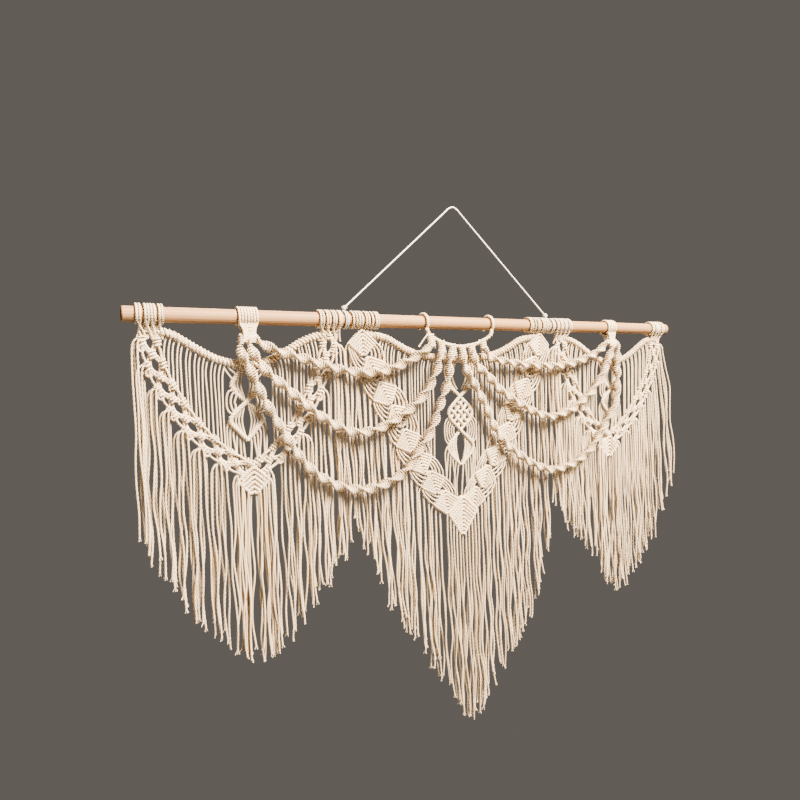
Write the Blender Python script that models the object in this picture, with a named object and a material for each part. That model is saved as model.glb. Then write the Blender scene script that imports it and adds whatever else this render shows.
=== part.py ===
"""A macrame wall hanging on a wooden dowel, with the cord that it hangs by.

Three knotted cotton panels hang side by side from the dowel, with a short swag and
six spiral-knotted garlands in front of them. Metres, +Z up, and the front faces -Y.
The origin is on the underside of the hanging cord, at its top, where it is held up.
Tables are in millimetres from the middle of the dowel's axis: x to the right, z up
and y to the back. The panels on the right mirror those on the left.
"""

import math

import bmesh
import bpy
from mathutils import Vector

MM = 0.001
GAP = 0.3  # between neighbouring pieces

DOWEL_LENGTH = 1000.0
DOWEL_DIAMETER = 20.0
AXIS_BELOW = 186.0  # the dowel's axis from the origin
AXIS_IN_FRONT = 10.0
LEAN = 0.018  # the dowel hangs about a degree out of level, so the cloth hangs off square

HANGING_CORD = 3.0
BEND_RADIUS = 10.0  # inside the cord's bend at its top
TIE_AT = 198.0  # where the hanging cord is tied, each side of the middle
TIE_KNOT = (192.0, 8.0, 21.0)

WRAP_FACETS = 8
WRAP_RIDGE = 15.0  # from the dowel's axis to the top of a wrap
WRAP_VALLEY = 13.4

STRAND_RADIUS = 2.9  # of the three corners of a strand of the fringe
CURTAIN_RADIUS = 2.2  # the same of a strand that is drawn taut between two bars
LAYERS = (-3.4, 3.4)  # y of the fringe's front and back layers
MIDDLE_LAYERS = (2.1, 8.0)  # the same in the middle panel, behind its arcs
ARC_LAYER = -4.0
ARC_REACH = 7.5  # how far an arc stands out from between its leaves
MOTIF_LAYERS = (-2.0, 2.0)
SIDE_CURTAIN_LAYER = 0.0
MIDDLE_CURTAIN_LAYER = 1.6
HANG_OUTSIDE = 4.7  # a strand from the edge of the band that it grows out of
HANG_APART = 3.1  # one strand from the next, which is in the other layer
SETTLE = 12.0  # a strand hangs straight this far below its root
DRIFT = {-1: 0.0, 0: 0.03, 1: 0.045}  # the fringe's slant to the right, in each panel
CURTAIN_LEAST = 14.0  # the shortest strand between two bars
CURTAIN_DRIFT = 7.0  # how far its foot may be out of plumb
CURTAIN_INSET = 8.0  # it has its full size this far from either end

BEECH = (0.64, 0.43, 0.27)
COTTON = (0.82, 0.72, 0.58)
WHITE_COTTON = (0.86, 0.82, 0.76)


# Routes and places


def place(x, z, y=0.0):
    """A point of the cloth in metres, leaned below the dowel."""
    return Vector((x - LEAN * min(z, 0.0), y - AXIS_IN_FRONT, z - AXIS_BELOW)) * MM


class Route:
    """A smooth curve through points, read by its share of the length."""

    STEPS = 12

    def __init__(self, points):
        ends = [2 * points[0] - points[1], *points, 2 * points[-1] - points[-2]]
        self.points = []
        for a, b, c, d in zip(ends, ends[1:], ends[2:], ends[3:]):
            for step in range(self.STEPS):
                t = step / self.STEPS
                bend = (2 * a - 5 * b + 4 * c - d) * t**2 + (3 * b - a - 3 * c + d) * t**3
                self.points.append((2 * b + (c - a) * t + bend) / 2)
        self.points.append(points[-1])
        self.reach = [0.0]
        for a, b in zip(self.points, self.points[1:]):
            self.reach.append(self.reach[-1] + (b - a).length)

    @property
    def length(self):
        return self.reach[-1]

    def at(self, share):
        """The place and the direction at this share of the length."""
        far = min(max(share, 0.0), 1.0) * self.length
        i = 0
        while i < len(self.reach) - 2 and self.reach[i + 1] < far:
            i += 1
        a, b = self.points[i], self.points[i + 1]
        return a.lerp(b, (far - self.reach[i]) / (b - a).length), (b - a).normalized()


def mirrored(points):
    return [(-x, *rest) for x, *rest in points]


def looked_up(table, x):
    """The second column at x, between the table's rows, which run left to right."""
    for (x0, z0), (x1, z1) in zip(table, table[1:]):
        if x <= x1:
            share = max(0.0, (x - x0) / (x1 - x0))
            return z0 + (z1 - z0) * share
    return table[-1][1]


# Shapes that the cloth is made of


def strip(bm, points, rows, middle=0.0):
    """A flat knotted bar along points (x, z), open at an eye wherever a row has a hole.

    A row is (share, half_width, half_depth, half_hole, lead): where it crosses the route,
    its size, the eye's half width, and how far its middle runs ahead, which makes a
    chevron. It returns the faces along its left and right edges, from start to end.
    """
    route = Route([place(x, z, middle) for x, z in points])
    rings = []
    for share, half_width, half_depth, half_hole, lead in rows:
        spot, ahead = route.at(share)
        side = Vector((-ahead.z, 0.0, ahead.x))
        front = Vector((0.0, -1.0, 0.0))
        ring = {}
        for face, sign in (("front", 1), ("back", -1)):
            rim = 0.55 * sign * half_depth * MM * front
            crown = sign * half_depth * MM * front + lead * MM * ahead + spot
            ring[face, "left"] = bm.verts.new(spot - side * half_width * MM + rim)
            ring[face, "right"] = bm.verts.new(spot + side * half_width * MM + rim)
            if half_hole:
                ring[face, "mid-left"] = bm.verts.new(crown - side * half_hole * MM)
                ring[face, "mid-right"] = bm.verts.new(crown + side * half_hole * MM)
            else:
                crest = bm.verts.new(crown)
                ring[face, "mid-left"] = ring[face, "mid-right"] = crest
        rings.append(ring)

    edges = {"left": [], "right": []}
    for near, far in zip(rings, rings[1:]):
        for face in ("front", "back"):
            for edge in ("left", "right"):
                outline = [near[face, edge], near[face, "mid-" + edge]]
                outline += [far[face, "mid-" + edge], far[face, edge]]
                bm.faces.new(outline)
        for edge in ("left", "right"):
            wall = [near["front", edge], near["back", edge]]
            wall += [far["back", edge], far["front", edge]]
            edges[edge].append(bm.faces.new(wall))
            inner = [near["front", "mid-" + edge], near["back", "mid-" + edge]]
            inner += [far["back", "mid-" + edge], far["front", "mid-" + edge]]
            has_eye = any(r["front", "mid-left"] != r["front", "mid-right"] for r in (near, far))
            if has_eye:
                bm.faces.new(inner)
    for ring in (rings[0], rings[-1]):
        corners = [("front", "left"), ("front", "mid-left"), ("front", "right")]
        corners += [("back", "right"), ("back", "mid-left"), ("back", "left")]
        bm.faces.new([ring[corner] for corner in corners])
    bmesh.ops.recalc_face_normals(bm, faces=bm.faces)
    return edges


def halves(bm, faces):
    """Each four-sided face split into two triangles: one near the front, one near the back."""
    fronts, backs = [], []
    for face in faces:
        middle = face.calc_center_median().y
        a, b, c, d = face.verts
        while a.co.y > middle or d.co.y > middle:
            a, b, c, d = b, c, d, a
        bm.faces.remove(face)
        fronts.append(bm.faces.new((a, b, d)))
        backs.append(bm.faces.new((b, c, d)))
    for face in fronts + backs:
        face.normal_update()
    return fronts, backs


def strand(bm, root, points, end=None, radius=STRAND_RADIUS):
    """A three-sided strand that grows out of the root face, along points in metres.

    With an end face it grows into that one too, and otherwise it is cut off square.
    """
    ring = list(root.verts)
    start = root.calc_center_median()
    bm.faces.remove(root)
    stations = [start, *points]
    if end is not None:
        stations.append(end.calc_center_median())
    turn = None
    for before, here, after in zip(stations, points, stations[2:] + [None]):
        ahead = ((after if after is not None else here) - before).normalized()
        across = Vector((0.0, 1.0, 0.0)).cross(ahead).normalized()
        up = ahead.cross(across)
        if turn is None:
            angles = [math.atan2((v.co - start).dot(up), (v.co - start).dot(across)) for v in ring]
            drift = [angle - k * math.tau / 3 for k, angle in enumerate(angles)]
            turn = math.atan2(sum(map(math.sin, drift)), sum(map(math.cos, drift)))
        fresh = []
        for k in range(3):
            angle = turn + k * math.tau / 3
            out = math.cos(angle) * across + math.sin(angle) * up
            fresh.append(bm.verts.new(here + radius * MM * out))
        for k in range(3):
            n = (k + 1) % 3
            bm.faces.new((ring[k], ring[n], fresh[n], fresh[k]))
        ring = fresh
    if end is None:
        bm.faces.new(ring)
        return
    target = list(end.verts)[::-1]
    bm.faces.remove(end)
    spans = [sum((ring[k].co - target[(k + s) % 3].co).length for k in range(3)) for s in range(3)]
    shift = spans.index(min(spans))
    for k in range(3):
        n = (k + 1) % 3
        bm.faces.new((ring[k], ring[n], target[(n + shift) % 3], target[(k + shift) % 3]))


def tube(bm, stations):
    """Rings of corners joined in order and closed at both ends."""
    rings = [[bm.verts.new(corner) for corner in ring] for ring in stations]
    for near, far in zip(rings, rings[1:]):
        for k in range(len(near)):
            n = (k + 1) % len(near)
            bm.faces.new((near[k], near[n], far[n], far[k]))
    bm.faces.new(rings[0][::-1])
    bm.faces.new(rings[-1])


def wraps(bm, left, right, count):
    """A row of cord turns round the dowel, as one ridged sleeve that clears it."""
    bore = (DOWEL_DIAMETER / 2 + GAP) / math.cos(math.pi / WRAP_FACETS)
    step = (right - left) / (2 * count)
    profile = [(left, bore)]
    for k in range(2 * count + 1):
        profile.append((left + k * step, WRAP_RIDGE if k % 2 else WRAP_VALLEY))
    profile.append((right, bore))
    rings = []
    for x, radius in profile:
        ring = []
        for k in range(WRAP_FACETS):
            angle = (k + 0.5) * math.tau / WRAP_FACETS
            y, z = radius * math.cos(angle), radius * math.sin(angle)
            corner = Vector((x, y - AXIS_IN_FRONT, z - AXIS_BELOW)) * MM
            ring.append(bm.verts.new(corner))
        rings.append(ring)
    for near, far in zip(rings, rings[1:] + rings[:1]):
        for k in range(WRAP_FACETS):
            n = (k + 1) % WRAP_FACETS
            bm.faces.new((near[k], near[n], far[n], far[k]))


def knot(bm, spots, radii, sides=8):
    """A lump along spots (x, z, y), with one radius at each."""
    centres = [place(*spot) for spot in spots]
    rings = []
    for k, (centre, radius) in enumerate(zip(centres, radii)):
        ahead = centres[min(k + 1, len(centres) - 1)] - centres[max(k - 1, 0)]
        across = Vector((0.0, 1.0, 0.0)).cross(ahead).normalized()
        up = ahead.cross(across).normalized()
        corners = []
        for n in range(sides):
            angle = n * math.tau / sides
            corners.append(centre + radius * MM * (math.cos(angle) * across + math.sin(angle) * up))
        rings.append(corners)
    tube(bm, rings)


# Objects


def finish(name, bm, material):
    bmesh.ops.recalc_face_normals(bm, faces=bm.faces)
    mesh = bpy.data.meshes.new(name)
    bm.to_mesh(mesh)
    bm.free()
    mesh.materials.append(material)
    obj = bpy.data.objects.new(name, mesh)
    bpy.context.scene.collection.objects.link(obj)
    return obj


def joined(obj, sleeve):
    """Joins the overlapping shapes of obj, and the sleeve that carries it, into one solid."""
    sleeve.hide_render = True
    sleeve.display_type = "WIRE"
    union = obj.modifiers.new("Join", "BOOLEAN")
    union.operation = "UNION"
    union.solver = "EXACT"
    union.use_self = True
    union.object = sleeve


def finish_of(name, colour, roughness):
    material = bpy.data.materials.new(name)
    material.use_nodes = True
    shader = material.node_tree.nodes["Principled BSDF"]
    shader.inputs["Base Color"].default_value = (*colour, 1.0)
    shader.inputs["Roughness"].default_value = roughness
    shader.inputs["Metallic"].default_value = 0.0
    return material


# The rows that strips are made of


def ridged_rows(count, half_width, half_depth):
    """A bar of turns over a carried cord: every second row stands proud."""
    rows = []
    for k in range(count + 1):
        full = 1.0 if k % 2 else 0.82
        rows.append((k / count, half_width * full, half_depth * full, 0.0, 0.0))
    return rows


def lattice_rows(cells, half_width, half_depth, half_eye):
    """A band of square knots, with one slanting eye in each cell."""
    rows = [(0.0, half_width, half_depth, 0.0, 0.0)]
    for cell in range(cells):
        for part, width, depth, eye in (
            (0.15, 1.0, 1.0, 0.0),
            (0.50, 0.94, 0.75, half_eye),
            (0.85, 1.0, 1.0, 0.0),
        ):
            share = (cell + part) / cells
            rows.append((share, half_width * width, half_depth * depth, eye, 0.0))
    rows.append((1.0, half_width, half_depth, 0.0, 0.0))
    return rows


LEAF_PARTS = (  # one diamond leaf: share of its length, share of its width, share of its depth
    (0.00, 0.34, 0.80),
    (0.25, 0.72, 1.00),
    (0.50, 1.00, 0.80),
    (0.67, 0.78, 1.00),
    (0.84, 0.56, 0.90),
)


def leaf_rows(leaves, half_width, half_depth, lead):
    """A chain of diamond leaves of slanting bars, whose middles run ahead as chevrons."""
    rows = []
    for leaf in range(leaves):
        for part, width, depth in LEAF_PARTS:
            share = (leaf + part) / leaves
            rows.append((share, half_width * width, half_depth * depth, 0.0, lead * width))
    rows.append((1.0, half_width * 0.12, half_depth, 0.0, 0.0))
    return rows


# The fringe


def by_turns(fronts, backs):
    """One half of each split face: the front of one, and the back of the next."""
    return [pair[k % 2] for k, pair in enumerate(zip(fronts, backs))]


def paired(fronts, backs):
    """Both halves of each split face, in order."""
    return [half for pair in zip(fronts, backs) for half in pair]


def plumb(point):
    """x and z of a point in metres, before the lean, in the tables' millimetres."""
    z = point.z / MM + AXIS_BELOW
    return point.x / MM + LEAN * min(z, 0.0), z


def fringe(bm, roots, outward, hem, layers, drift, spots=None, flare=0.0):
    """Grows a straight strand from each root, listed from the highest to the lowest.

    Each hangs a little outside its root and clear of the one below it, unless spots
    gives the x of each. Neighbours hang in the two layers by turns. Each slants to the
    right by drift. The highest strand also flares outwards by as much as flare says, and
    those below it less and less.
    """
    if spots is None:
        spots = []
        for root in reversed(roots):
            x = plumb(root.calc_center_median())[0] * outward + HANG_OUTSIDE
            if spots:
                x = max(x, spots[-1] * outward + HANG_APART)
            spots.append(x * outward)
        spots.reverse()
    for i, (root, x) in enumerate(zip(roots, spots)):
        z = plumb(root.calc_center_median())[1]
        tip = looked_up(hem, x) + 7.0 * math.sin(2.7 * i + 0.6) + 4.0 * math.sin(5.3 * i)
        sway = 1.5 * math.sin(0.3 * i + 0.4) + outward * flare * (1.0 - i / len(roots)) ** 2
        sway += drift * (z - tip)
        y = layers[i % 2]
        strand(bm, root, [place(x, z - SETTLE, y), place(x + sway, tip, y)])


def curtain(bm, roots, ends, layer):
    """Straight strands from the roots, each down to an end face that is nearly plumb below."""
    pairs = []
    for r, root in enumerate(roots):
        x, z = plumb(root.calc_center_median())
        for e, end in enumerate(ends):
            x_end, z_end = plumb(end.calc_center_median())
            if z - z_end > CURTAIN_LEAST:
                pairs.append((abs(x - x_end), r, e))
    used_roots, used_ends = set(), set()
    for out_of_plumb, r, e in sorted(pairs):
        if out_of_plumb > CURTAIN_DRIFT or r in used_roots or e in used_ends:
            continue
        used_roots.add(r)
        used_ends.add(e)
        top, foot = roots[r].calc_center_median(), ends[e].calc_center_median()
        points = []
        inset = min(0.4, CURTAIN_INSET * MM / (foot - top).length)
        for share in (inset, 1.0 - inset):
            point = top.lerp(foot, share)
            point.y = (layer - AXIS_IN_FRONT) * MM
            points.append(point)
        strand(bm, roots[r], points, ends[e], CURTAIN_RADIUS)


def arcs(bm, first, second, reach, layer):
    """One arched strand from each first face round to the second face beside it."""
    for start, end in zip(first, second):
        near, far = start.calc_center_median(), end.calc_center_median()
        out = start.normal + end.normal
        out.y = 0.0
        out.normalize()
        shift = Vector((0.0, layer * MM, 0.0))
        a = near.lerp(far, 0.25) + out * reach * MM + shift
        b = near.lerp(far, 0.75) + out * reach * MM + shift
        strand(bm, start, [a, b], end, CURTAIN_RADIUS)


# Side panels: a scalloped top bar, two lattice bands that meet in a V, a leaf under their
# crossing, a small motif inside the V, and the fringe

SIDE_WRAPS = ((-485.0, -451.0, 6), (-241.0, -206.0, 6))  # left, right, turns
SIDE_BAR = (  # x, z
    (-466, -19), (-442, -25), (-420, -38), (-400, -50), (-380, -59), (-345, -65),
    (-318, -60), (-290, -47), (-262, -31), (-226, -19),
)  # fmt: skip
OUTER_BAND = (
    (-469, -11), (-468, -40), (-461, -70), (-450, -96), (-436, -122), (-421, -145),
    (-400, -170), (-377, -191), (-346, -211),
)  # fmt: skip
INNER_BAND = (
    (-222, -13), (-225, -40), (-237, -75), (-250, -105), (-266, -137), (-283, -162),
    (-303, -185), (-338, -211),
)  # fmt: skip
LEAF_AT = 342  # from the middle of the dowel
MOTIF_AT = 348
SIDE_LEAF = ((-LEAF_AT, -202), (-LEAF_AT, -225), (-LEAF_AT, -250))
LEAF_TAILS = (24.0, 19.5, 15.0, 11.0, 7.0, 3.0)  # x of the tails from the middle of their leaf
SIDE_MOTIF = ((-MOTIF_AT, -62), (-MOTIF_AT, -110), (-MOTIF_AT, -168))
SIDE_MOTIF_ROWS = (  # share, half_width, half_depth, half_hole, lead
    (0.00, 9.0, 4.6, 0.0, 0.0),
    (0.10, 11.0, 5.0, 0.0, 0.0),
    (0.26, 12.5, 4.4, 4.5, 0.0),
    (0.44, 7.5, 5.0, 0.0, 0.0),
    (0.56, 8.5, 5.0, 0.0, 0.0),
    (0.60, 13.0, 5.2, 0.0, 0.0),
    (0.76, 21.0, 4.4, 5.0, 0.0),
    (0.93, 10.0, 5.2, 0.0, 0.0),
    (1.00, 4.5, 4.6, 0.0, 0.0),
)
SIDE_MOTIF_TAILS = (20.0, 15.5, 10.0, 4.5)  # x of its tails from its middle
SIDE_MOTIF_HEM = ((-380, -207), (-320, -207))  # they end behind the crossing
SIDE_FLARE = {-1: 0.0, 1: 30.0}  # of the outermost strand at its tip, in each panel
SIDE_HEM = {  # x, z of the fringe's ends before they slant, in each panel
    -1: (
        (-500, -272), (-485, -295), (-451, -347), (-425, -398), (-409, -413), (-385, -446),
        (-362, -465), (-344, -473), (-322, -467), (-289, -448), (-266, -411), (-228, -371),
        (-202, -330), (-181, -295),
    ),
    1: (
        (181, -280), (200, -315), (220, -343), (247, -376), (266, -395), (290, -414),
        (306, -438), (326, -471), (346, -495), (366, -490), (394, -462), (420, -447),
        (449, -421), (468, -381), (490, -345), (505, -300), (520, -270),
    ),
}  # fmt: skip


def side_panel(name, sign, material):
    def turned(points):
        return list(points) if sign < 0 else mirrored(points)

    # The outer band hangs from the outer wraps, with its fringe towards the dowel's end.
    outside, inside = ("left", "right") if sign < 0 else ("right", "left")
    bm = bmesh.new()
    bar = strip(bm, turned(SIDE_BAR), ridged_rows(36, 6.8, 5.6))
    outer = strip(bm, turned(OUTER_BAND), lattice_rows(8, 13.5, 5.8, 2.7))
    inner = strip(bm, turned(INNER_BAND), lattice_rows(7, 13.5, 5.4, 2.7))
    leaf = strip(bm, turned(SIDE_LEAF), leaf_rows(1, 22.0, 6.1, 9.0))
    motif = strip(bm, turned(SIDE_MOTIF), SIDE_MOTIF_ROWS)

    hem, drift = SIDE_HEM[sign], DRIFT[sign]
    outer_roots = by_turns(*halves(bm, outer[outside][1:-3]))
    fringe(bm, outer_roots, sign, hem, LAYERS, drift, flare=SIDE_FLARE[sign])
    fringe(bm, by_turns(*halves(bm, inner[inside][1:-3])), -sign, hem, LAYERS, drift)
    for edge, way in (("left", -1.0), ("right", 1.0)):
        spots = [sign * LEAF_AT + way * x for x in LEAF_TAILS]
        fringe(bm, paired(*halves(bm, leaf[edge][2:])), way, hem, LAYERS, drift, spots)
        spots = [sign * MOTIF_AT + way * x for x in SIDE_MOTIF_TAILS]
        tails = paired(*halves(bm, motif[edge][-2:]))
        fringe(bm, tails, way, SIDE_MOTIF_HEM, MOTIF_LAYERS, 0.0, spots)

    # The curtain hangs from the lower edge of the bar down to both bands, and leaves the
    # middle of the bar to the motif.
    hung = halves(bm, bar["left" if sign < 0 else "right"][2:-2])[0]
    for roots, band in ((hung[:13], outer[inside]), (hung[:21:-1], inner[outside])):
        ends = paired(*halves(bm, band[3:-3]))
        curtain(bm, roots, ends, SIDE_CURTAIN_LAYER)
    finish_panel(name, bm, [(sign * -a, sign * -b, n) for a, b, n in SIDE_WRAPS], material)


def finish_panel(name, bm, sleeves, material):
    """Closes a panel: all but the first sleeve in its own mesh, and the first one joined."""
    for left, right, count in sleeves[1:]:
        wraps(bm, min(left, right), max(left, right), count)
    panel = finish(name, bm, material)
    first = bmesh.new()
    left, right, count = sleeves[0]
    wraps(first, min(left, right), max(left, right), count)
    joined(panel, finish(name + "_sleeve", first, material))


# Middle panel: a scalloped top bar, two chains of leaves that meet in a V, a chevron
# under their crossing, an openwork motif inside the V, and the fringe

MIDDLE_WRAPS = ((-190.0, -147.0, 7), (147.0, 190.0, 7))
MIDDLE_BAR = (
    (-164, -19), (-130, -26), (-110, -36), (-82, -48), (-50, -54), (0, -58),
    (50, -54), (82, -48), (110, -36), (130, -26), (164, -19),
)  # fmt: skip
LEAF_CHAIN = (
    (-172, -12), (-170, -36), (-153, -74), (-136, -108), (-116, -142), (-97, -180),
    (-74, -214), (-48, -249), (-20, -285), (-4, -300),
)  # fmt: skip
CHEVRON = ((0, -282), (0, -315), (0, -350))
CHEVRON_TAILS = (33.0, 27.5, 22.0, 16.5, 11.0, 5.0)
MIDDLE_MOTIF = ((0, -55), (0, -140), (0, -230))
MIDDLE_MOTIF_ROWS = (  # share, half_width, half_depth, half_hole, lead
    (0.00, 11.0, 4.6, 0.0, 0.0),
    (0.07, 14.0, 5.0, 0.0, 0.0),
    (0.18, 17.0, 4.4, 7.5, 0.0),
    (0.30, 9.0, 5.0, 0.0, 0.0),
    (0.36, 8.5, 5.4, 0.0, 0.0),
    (0.44, 17.0, 4.6, 0.0, 0.0),
    (0.50, 24.0, 5.2, 2.4, 0.0),
    (0.57, 16.0, 4.8, 0.0, 0.0),
    (0.66, 7.5, 5.4, 0.0, 0.0),
    (0.73, 15.0, 5.0, 0.0, 0.0),
    (0.85, 24.0, 4.4, 6.0, 0.0),
    (0.95, 11.0, 5.0, 0.0, 0.0),
    (1.00, 4.5, 4.6, 0.0, 0.0),
)
MIDDLE_MOTIF_TAILS = (24.0, 18.0, 11.5, 5.0)
MIDDLE_MOTIF_HEM = ((-40, -292), (40, -292))
MIDDLE_HEM = (
    (-195, -303), (-178, -334), (-159, -379), (-133, -449), (-117, -475), (-85, -507),
    (-67, -546), (-35, -586), (-15, -629), (-4, -654), (10, -657), (35, -636), (60, -604),
    (80, -584), (100, -566), (122, -533), (146, -497), (165, -455), (180, -405),
    (192, -350), (202, -305),
)  # fmt: skip


def middle_panel(name, material):
    bm = bmesh.new()
    bar = strip(bm, MIDDLE_BAR, ridged_rows(48, 6.8, 5.6))
    chains = {
        "left": strip(bm, LEAF_CHAIN, leaf_rows(8, 21.0, 6.0, 9.0)),
        "right": strip(bm, mirrored(LEAF_CHAIN), leaf_rows(8, 21.0, 5.7, 9.0)),
    }
    chevron = strip(bm, CHEVRON, leaf_rows(1, 27.0, 6.4, 14.0))
    motif = strip(bm, MIDDLE_MOTIF, MIDDLE_MOTIF_ROWS)

    hung = bar["left"]  # the lower edge, from left to right
    reach = {"left": hung[3:20], "right": hung[-20:-3]}
    for edge, chain in chains.items():
        away = {"left": "right", "right": "left"}[edge]
        sign = -1.0 if edge == "left" else 1.0
        # Outside the chain: arcs from leaf to leaf, and fringe from each leaf's lower side.
        fronts, backs = halves(bm, chain[edge])
        arcs(bm, fronts[3:-5:5], fronts[6::5], ARC_REACH, ARC_LAYER)
        roots = []
        for k in range(2, len(backs), 5):
            roots += [fronts[k], backs[k], backs[k + 1], backs[k + 2]]
        fringe(bm, roots[:-2], sign, MIDDLE_HEM, MIDDLE_LAYERS, DRIFT[0])
        # Inside it: arcs, and the curtain that comes down from the bar.
        fronts, backs = halves(bm, chain[away])
        arcs(bm, fronts[3:-10:5], fronts[6::5], ARC_REACH, ARC_LAYER)
        upper = [face for k, face in enumerate(backs[5:]) if k % 5 < 2]
        curtain(bm, halves(bm, reach[edge])[1], upper, MIDDLE_CURTAIN_LAYER)
        spots = [sign * x for x in CHEVRON_TAILS]
        tails = paired(*halves(bm, chevron[edge][2:]))
        fringe(bm, tails, sign, MIDDLE_HEM, LAYERS, DRIFT[0], spots)
        spots = [sign * x for x in MIDDLE_MOTIF_TAILS]
        tails = paired(*halves(bm, motif[edge][-2:]))
        fringe(bm, tails, sign, MIDDLE_MOTIF_HEM, MOTIF_LAYERS, 0.0, spots)
    finish_panel(name, bm, MIDDLE_WRAPS, material)


# Garlands: spiral-knotted ropes, three from each holder, in front of the panels

HOLDER = (-357.0, -327.0, 5)  # wraps: left, right, turns
HOLDER_COLLAR = ((-345, -13, -4), (-346, -18, -5), (-346, -27, -6), (-346, -31, -7))
COLLAR_RADII = (9.0, 10.5, 10.5, 8.5)
GARLANDS = {  # x, z, y of the ropes on the left and on the right
    -1: (
        (
            (-339, -24, -8), (-327, -36, -12), (-303, -47, -15), (-262, -59, -15),
            (-225, -70, -15), (-185, -77, -15), (-145, -76, -15), (-105, -63, -16),
            (-80, -49, -20), (-61, -36, -21),
        ),
        (
            (-345, -23, -9), (-341, -47, -16), (-325, -72, -17), (-300, -94, -16),
            (-270, -119, -15), (-240, -143, -15), (-207, -161, -15), (-185, -166, -15),
            (-154, -162, -15), (-118, -146, -15), (-88, -127, -15), (-66, -104, -16),
            (-54, -80, -19), (-48, -62, -21), (-43, -44, -21),
        ),
        (
            (-351, -24, -8), (-356, -45, -13), (-346, -70, -17), (-327, -113, -16),
            (-302, -158, -15), (-273, -203, -15), (-238, -234, -15), (-200, -249, -15),
            (-165, -251, -15), (-130, -241, -15), (-104, -225, -15), (-86, -201, -15),
            (-70, -183, -15), (-55, -157, -15), (-44, -131, -15), (-34, -105, -16),
            (-29, -82, -19), (-28, -58, -21), (-24, -45, -21),
        ),
    ),
    1: (
        (
            (339, -24, -8), (319, -34, -13), (294, -49, -15), (248, -64, -15), (221, -69, -15),
            (190, -71, -15), (142, -69, -15), (102, -65, -15), (60, -59, -19), (46, -50, -21),
            (40, -39, -21),
        ),
        (
            (345, -23, -9), (338, -42, -15), (326, -57, -16), (315, -80, -16),
            (301, -101, -15), (286, -118, -15), (259, -135, -15), (236, -149, -15),
            (213, -155, -15), (188, -160, -15), (155, -153, -15), (118, -135, -15),
            (87, -118, -15), (67, -103, -15), (49, -86, -17), (22, -66, -21), (18, -43, -21),
        ),
        (
            (351, -24, -8), (355, -45, -13), (348, -72, -16), (351, -91, -15),
            (349, -110, -15), (348, -126, -15), (343, -145, -15), (331, -164, -15),
            (315, -184, -15), (299, -204, -15), (284, -221, -15), (264, -235, -15),
            (241, -246, -15), (215, -252, -15), (184, -254, -15), (146, -241, -15),
            (116, -223, -15), (86, -201, -15), (60, -168, -15), (44, -135, -15),
            (28, -109, -15), (19, -94, -16), (6, -78, -19), (-3, -60, -21), (-2, -45, -21),
        ),
    ),
}  # fmt: skip
ROPE_HALF_WIDTH = 7.8
ROPE_HALF_DEPTH = 4.6
ROPE_BULGE = 27.0  # from one bulge of the spiral to the next
RINGS_PER_BULGE = 4
ROPE_TAPER = 16.0


def garland(bm, points):
    """A rope of a flat section that turns half round in each bulge."""
    route = Route([place(*point) for point in points])
    length = route.length / MM
    count = round(length / ROPE_BULGE * RINGS_PER_BULGE)
    rings = []
    for k in range(count + 1):
        spot, ahead = route.at(k / count)
        far = length * min(k, count - k) / count
        full = 0.55 + 0.45 * min(1.0, far / ROPE_TAPER)
        across = Vector((0.0, 1.0, 0.0)).cross(ahead).normalized()
        up = ahead.cross(across).normalized()
        turn = math.pi * k / RINGS_PER_BULGE
        corners = []
        for n, half in enumerate((ROPE_HALF_WIDTH, ROPE_HALF_DEPTH) * 2):
            angle = turn + n * math.pi / 2
            out = math.cos(angle) * across + math.sin(angle) * up
            corners.append(spot + half * full * MM * out)
        rings.append(corners)
    tube(bm, rings)


def garlands(name, sign, material):
    bm = bmesh.new()
    for points in GARLANDS[sign]:
        garland(bm, points)
    knot(bm, [(x * -sign, z, y) for x, z, y in HOLDER_COLLAR], COLLAR_RADII)
    ropes = finish(name, bm, material)
    sleeve = bmesh.new()
    left, right, count = HOLDER
    wraps(sleeve, min(-sign * left, -sign * right), max(-sign * left, -sign * right), count)
    joined(ropes, finish(name + "_sleeve", sleeve, material))


# Short swag between the garlands: a cord looped over the dowel twice, with six knots

SWAG_LOOPS = ((-66.0, -60.0, 1), (60.0, 66.0, 1))
SWAG = ((-63, -11), (-58, -20), (-44, -28), (-28, -34), (0, -38), (28, -34), (44, -28),
        (58, -20), (63, -11))  # fmt: skip
SWAG_IN_FRONT = -11.0
SWAG_KNOTS = (-57.0, -38.0, -17.0, 2.0, 20.0, 43.0)
SWAG_TAIL = ((-60, -16, -13), (-70, -27, -13), (-79, -39, -12))


def swag(name, material):
    bm = bmesh.new()
    strip(bm, SWAG, ridged_rows(18, 4.0, 3.8), SWAG_IN_FRONT)
    line = [(x, z) for x, z in SWAG]
    for x in SWAG_KNOTS:
        z = looked_up(line, x)
        spots = [(x, z - drop, SWAG_IN_FRONT) for drop in (0.0, 8.0, 17.0)]
        knot(bm, spots, (3.2, 4.4, 2.8), sides=6)
    knot(bm, SWAG_TAIL, (1.6, 1.5, 1.7), sides=5)
    wraps(bm, *SWAG_LOOPS[1])
    for side in (-1.0, 1.0):
        link = [(side * 63.0, -9.0, -8.0), (side * 62.0, -14.0, -10.5), (side * 60.0, -19.0, -11.0)]
        knot(bm, link, (3.4, 4.0, 3.6), sides=6)
    cloth = finish(name, bm, material)
    loop = bmesh.new()
    wraps(loop, *SWAG_LOOPS[0])
    joined(cloth, finish(name + "_sleeve", loop, material))


# The dowel, and the cord that it hangs by


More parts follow.
